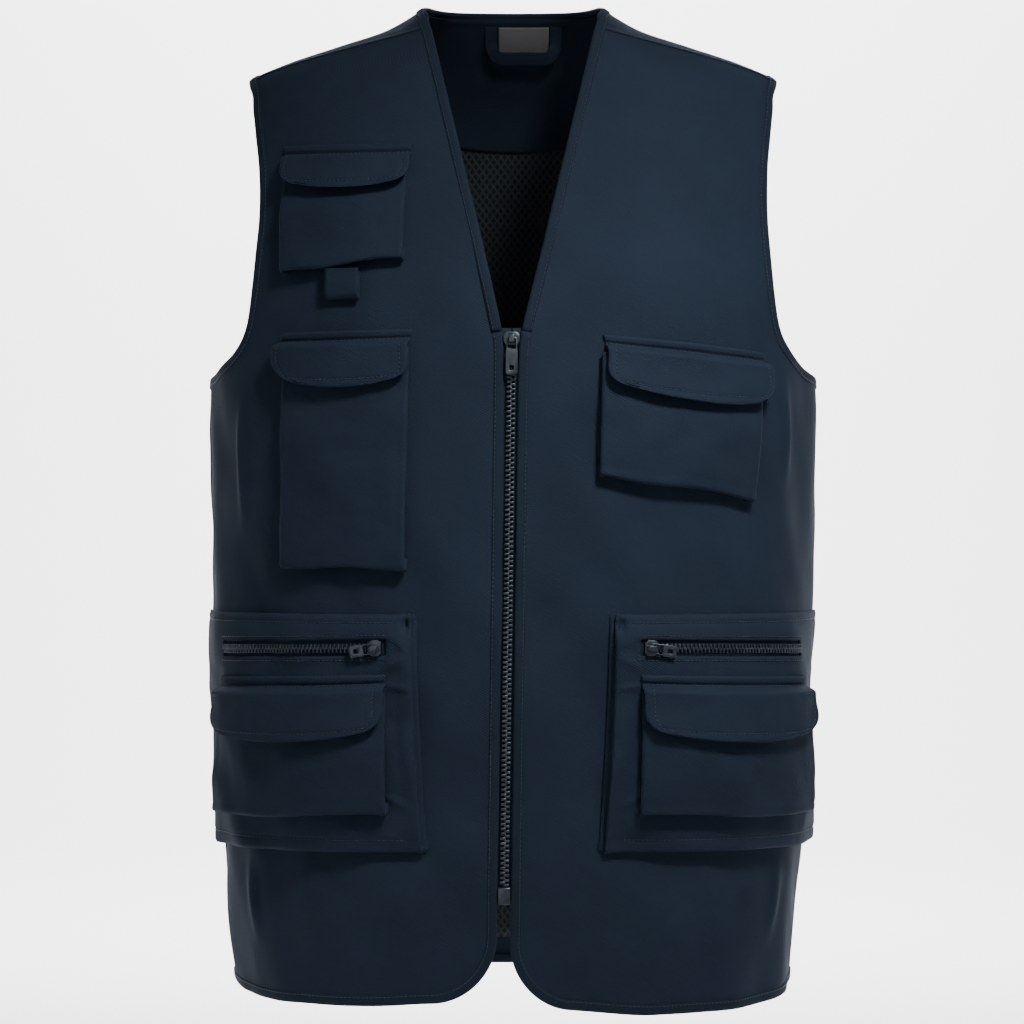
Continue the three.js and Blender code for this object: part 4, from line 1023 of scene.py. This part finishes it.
# Cargo pockets.
# A wide bellows pocket from beside the zip to each side seam, its face held off by a folded wall, with a zip
# set in a welted window near its top. On its face sits a smaller flap pocket.
CARGO_TOP, CARGO_BOTTOM = -437.5, -601
CARGO_INNER, CARGO_OUTER = 18.5, 87  # turns of its sides
CARGO_MM_PER_DEGREE = 3.75  # round the hips, over the pocket
CARGO_ROWS = (4.5, 8)  # stitches below its top edge and above its bottom one
BELLOWS = np.array([(-4, 0), (-4.3, 0.2), (-1.5, 0.3), (3, 0.42), (0.6, 0.66), (-0.8, 0.88), (1.2, 1)])
TOP_RIM = np.array([(-1.5, 0), (-0.6, 0.6), (0.8, 1)])
PUCKERS = [  # where ridges of the face start and end: distance from its inner edge and its top
    ((15, 36), (3, 29), 2.4, 1.8),
    ((17, 48), (2, 50), 2.2, 1.6),
    ((14, 14), (4, 24), 3, 1.4),
    ((24, 124), (8, 132), 3, 1.6),
    ((8, 70), (3, 110), 3, 1.2),
]
CARGO_RISE = np.array(  # share down, and the face's height at its inner edge, middle and outer edge
    [
        (0, 3, 3.4, 2.2),
        (0.1, 8, 7, 2.8),
        (0.35, 11, 10, 3.4),
        (0.65, 11, 12, 5),
        (0.9, 8, 12.5, 7.5),
        (1, 5, 11, 8),
    ]
)
WINDOW_TURNS = (23.5, 66.4)
WINDOW_HEIGHTS = (-458.9, -461.5)
WINDOW_MIDDLE = -460.2
WINDOW_BELOW = 22.7  # the pocket's top edge
WINDOW_HALF = 6.2
PATCH = {
    "inner": (87.6, 86.5),
    "outer": (200.5, 199.5),
    "flap": (87, 200.5),
    "swell": (-0.5, -1),
    "top": (-477.3, -481),
    "bottom": (-574, -577.5),
    "drop": 44.5,
    "rise": (6.5, 8.5),
}


def cargo_inner(d):
    return 19 - 1.4 * d * d


def cargo_rise(s, d):
    d = np.clip(d, 0, 1)
    inner, middle, outer = (tween(CARGO_RISE, k, d) for k in (1, 2, 3))
    first = inner + (middle - inner) * ease(2 * s)
    second = middle + (outer - middle) * ease(2 * s - 1)
    return np.where(s < 0.5, first, second)


def cargo_face(turn, z):
    """The height of a cargo pocket's face over the panel."""
    d = np.clip((CARGO_TOP - z) / (CARGO_TOP - CARGO_BOTTOM), 0, 1)
    s = np.clip((np.abs(turn) - cargo_inner(d)) / (CARGO_OUTER - cargo_inner(d)), 0, 1)
    return cargo_rise(s, d)


def window_z(turn):
    share = (np.abs(turn) - WINDOW_TURNS[0]) / (WINDOW_TURNS[1] - WINDOW_TURNS[0])
    return lean(WINDOW_HEIGHTS, share)


for side_name, side in SIDES:
    wide = (CARGO_OUTER - CARGO_INNER) * CARGO_MM_PER_DEGREE
    high = CARGO_TOP - CARGO_BOTTOM
    columns, rows = 120, 96

    def shares(u, v):
        x, side_rise = walled(u, columns, wide, BELLOWS, POUCH_WALL)
        y, end_rise = walled(1 - v, rows, high, TOP_RIM, LOW_WALL)
        return x, y, side_rise * end_rise

    def place(u, v):
        x, y, _ = shares(u, v)
        inner = cargo_inner(np.clip(y / high, 0, 1))
        turn = inner + (CARGO_OUTER - inner) * x / wide
        near_window = 1 - ease((np.abs(y - WINDOW_BELOW) - 9) / 10)
        return side * turn, CARGO_TOP - y + (window_z(turn) - WINDOW_MIDDLE) * near_window

    def puffed(x, y, turn, z):
        dents = rumple(turn, z, 31 + side, 1.4) * ease((y - 30) / 12)
        for start, end, width, ridge in PUCKERS:
            dents = dents + pucker(x, y, start, end, width, ridge)
        return cargo_rise(x / wide, y / high) + dents

    def height(u, v, turn, z):
        x, y, wall = shares(u, v)
        seams = crease(x - 10, 0.4) + crease(y - CARGO_ROWS[0], 0.6) + crease(high - y - CARGO_ROWS[1], 0.8)
        pinched = -6 * np.exp(-(((x - 3.5) / 2.6) ** 2) - ((y - 7) / 6) ** 2)
        return 0.25 + (puffed(x, y, turn, z) - 0.25 + seams + pinched) * wall

    bm = cloth_grid(columns, rows, place, height)
    layer = bm.loops.layers.uv["cloth"]
    cut = []
    for face in bm.faces:
        flat = sum((loop[layer].uv for loop in face.loops), Vector((0, 0))) / len(face.loops)
        turn, z = flat[0] / MM / MM_PER_DEGREE, flat[1] / MM
        in_turns = WINDOW_TURNS[0] < abs(turn) < WINDOW_TURNS[1]
        if in_turns and abs(z - window_z(turn)) < WINDOW_HALF:
            cut.append(face)
    bmesh.ops.delete(bm, geom=cut, context="FACES")
    name = side_name + "_cargo"
    pocket = piece(bm, name + "_pouch", navy_twill, 1.1, replaces=[name + "_pocket"])

    def tape_place(u, v):
        turn = 22 + 45.9 * u
        return side * turn, window_z(turn) + (2 * v - 1) * 9.4

    bm = cloth_grid(60, 6, tape_place, lambda u, v, turn, z: cargo_face(turn, z) - 1.7)
    piece(bm, name + "_zip_tape_cloth", zip_tape_cloth, 0.8, replaces=[name + "_zip_tape"])

    def chain_place(share):
        turn = 27.3 + 38.5 * share
        return side * turn, float(window_z(turn))

    bm = bmesh.new()
    add_teeth(bm, chain_place, True, 90, lambda turn, z: float(cargo_face(turn, z)) + 0.3, 0.72)
    piece(bm, name + "_teeth", gunmetal, replaces=[name + "_zip_chain"])

    turn = np.linspace(WINDOW_TURNS[0] - 0.6, WINDOW_TURNS[1] + 0.6, 120)
    for up in (-1, 1):
        z = window_z(turn) + up * (WINDOW_HALF + 2.2)
        sew_on_body(pocket_stitches, side * turn, z, cargo_face(turn, z) + 0.2)
    x = np.linspace(12, wide - 4, 160)
    for y in (CARGO_ROWS[0], high - CARGO_ROWS[1]):
        inner = cargo_inner(y / high)
        turn = inner + (CARGO_OUTER - inner) * x / wide
        z = np.full_like(turn, CARGO_TOP - y)
        sew_on_body(pocket_stitches, side * turn, z, puffed(x, 0 * x + y, side * turn, z) - 0.35)

    row = dict(PATCH)
    for key in ("inner", "outer", "flap"):
        row[key] = tuple(side * x for x in PATCH[key])
    flap_pocket(side_name + "_patch_pocket", row, cargo_face, 50 + 9 * side)
piece(pocket_stitches, "pocket_stitches", sewing_thread)

# Loops and label.
# A folded twill tab hangs from under the pen pocket. Inside the back neck a woven label is sewn to the
# lining, and a narrow tape hangs below it as a loop for a hook.
TAB_STATIONS = [
    (-196.5, 7.5),
    (-205, 7.5),
    (-213, 7.1),
    (-216, 5.6),
    (-217, 4.3),
    (-216, 3),
    (-213, 1.5),
    (-205, 1.4),
    (-197.5, 1.4),
]
LOOP_STATIONS = [
    (-21.3, -1, -12.6, -1, 4),
    (-21.3, -12, -12.6, -11, 5.5),
    (-19, -19, -12, -14, 8.5),
    (-11, -25.2, -8.5, -16.2, 10.3),
    (8, -25.2, 8, -16.2, 10.3),
    (27, -25.2, 24.5, -16.2, 10.3),
    (35, -19, 28, -14, 8.5),
    (37.3, -12, 28.6, -11, 5.5),
    (37.3, -1, 28.6, -1, 4),
]


def ribbon(name, material, edges, wall, replaced):
    """A strip of cloth between two edges, each a row of points in millimetres."""
    t = np.linspace(0, len(edges) - 1, 8 * (len(edges) - 1) + 1)
    line = through(np.array(edges), t)
    bm = bmesh.new()
    bmesh.ops.create_grid(bm, x_segments=10, y_segments=len(t) - 1, size=0.5)
    flat = []
    for vert in bm.verts:
        u, k = vert.co.x + 0.5, round((vert.co.y + 0.5) * (len(t) - 1))
        a, b = line[k]
        flat.append((u * float(np.linalg.norm(b - a)) * MM, k * MM * 1.2))
        vert.co = (a + (b - a) * u) * MM
    lay_uv(bm, flat)
    made = piece(bm, name, material, wall, replaces=[replaced])
    made.modifiers["wall"].offset = 0
    return made


tab_edges = []
for z, out in TAB_STATIONS:
    tab_edges.append([on_body(turn_at(x, z), z, out)[0] for x in (-129.3, -106.4)])
ribbon("tab_loop_cloth", navy_twill, tab_edges, 1.3, "tab_loop")
loop_edges = []
for x, z, inner_x, inner_z, back in LOOP_STATIONS:
    outer = on_body(180 - turn_at(x, z), z, -back)[0]
    loop_edges.append([outer, on_body(180 - turn_at(inner_x, inner_z), inner_z, -back)[0]])
ribbon("hang_loop_tape", edge_tape, loop_edges, 1, "hang_loop")

# Damask-woven polyester label, mid grey, with a faint satin sheen and fine threads.
label_weave = cloth_material("grey damask-woven label", "#67676a", "#7c7c80", 0.8, 0.1, 0.05)


def label_place(u, v):
    z = -27.4 + 26.2 * v
    return 180 - turn_at(-11 + 38.5 * u, z), z


bm = cloth_grid(30, 20, label_place, lambda u, v, turn, z: -4.4 - 0.2 * np.sin(np.pi * u))
bmesh.ops.reverse_faces(bm, faces=bm.faces[:])
piece(bm, "neck_label_cloth", label_weave, 0.7, replaces=["neck_label"])
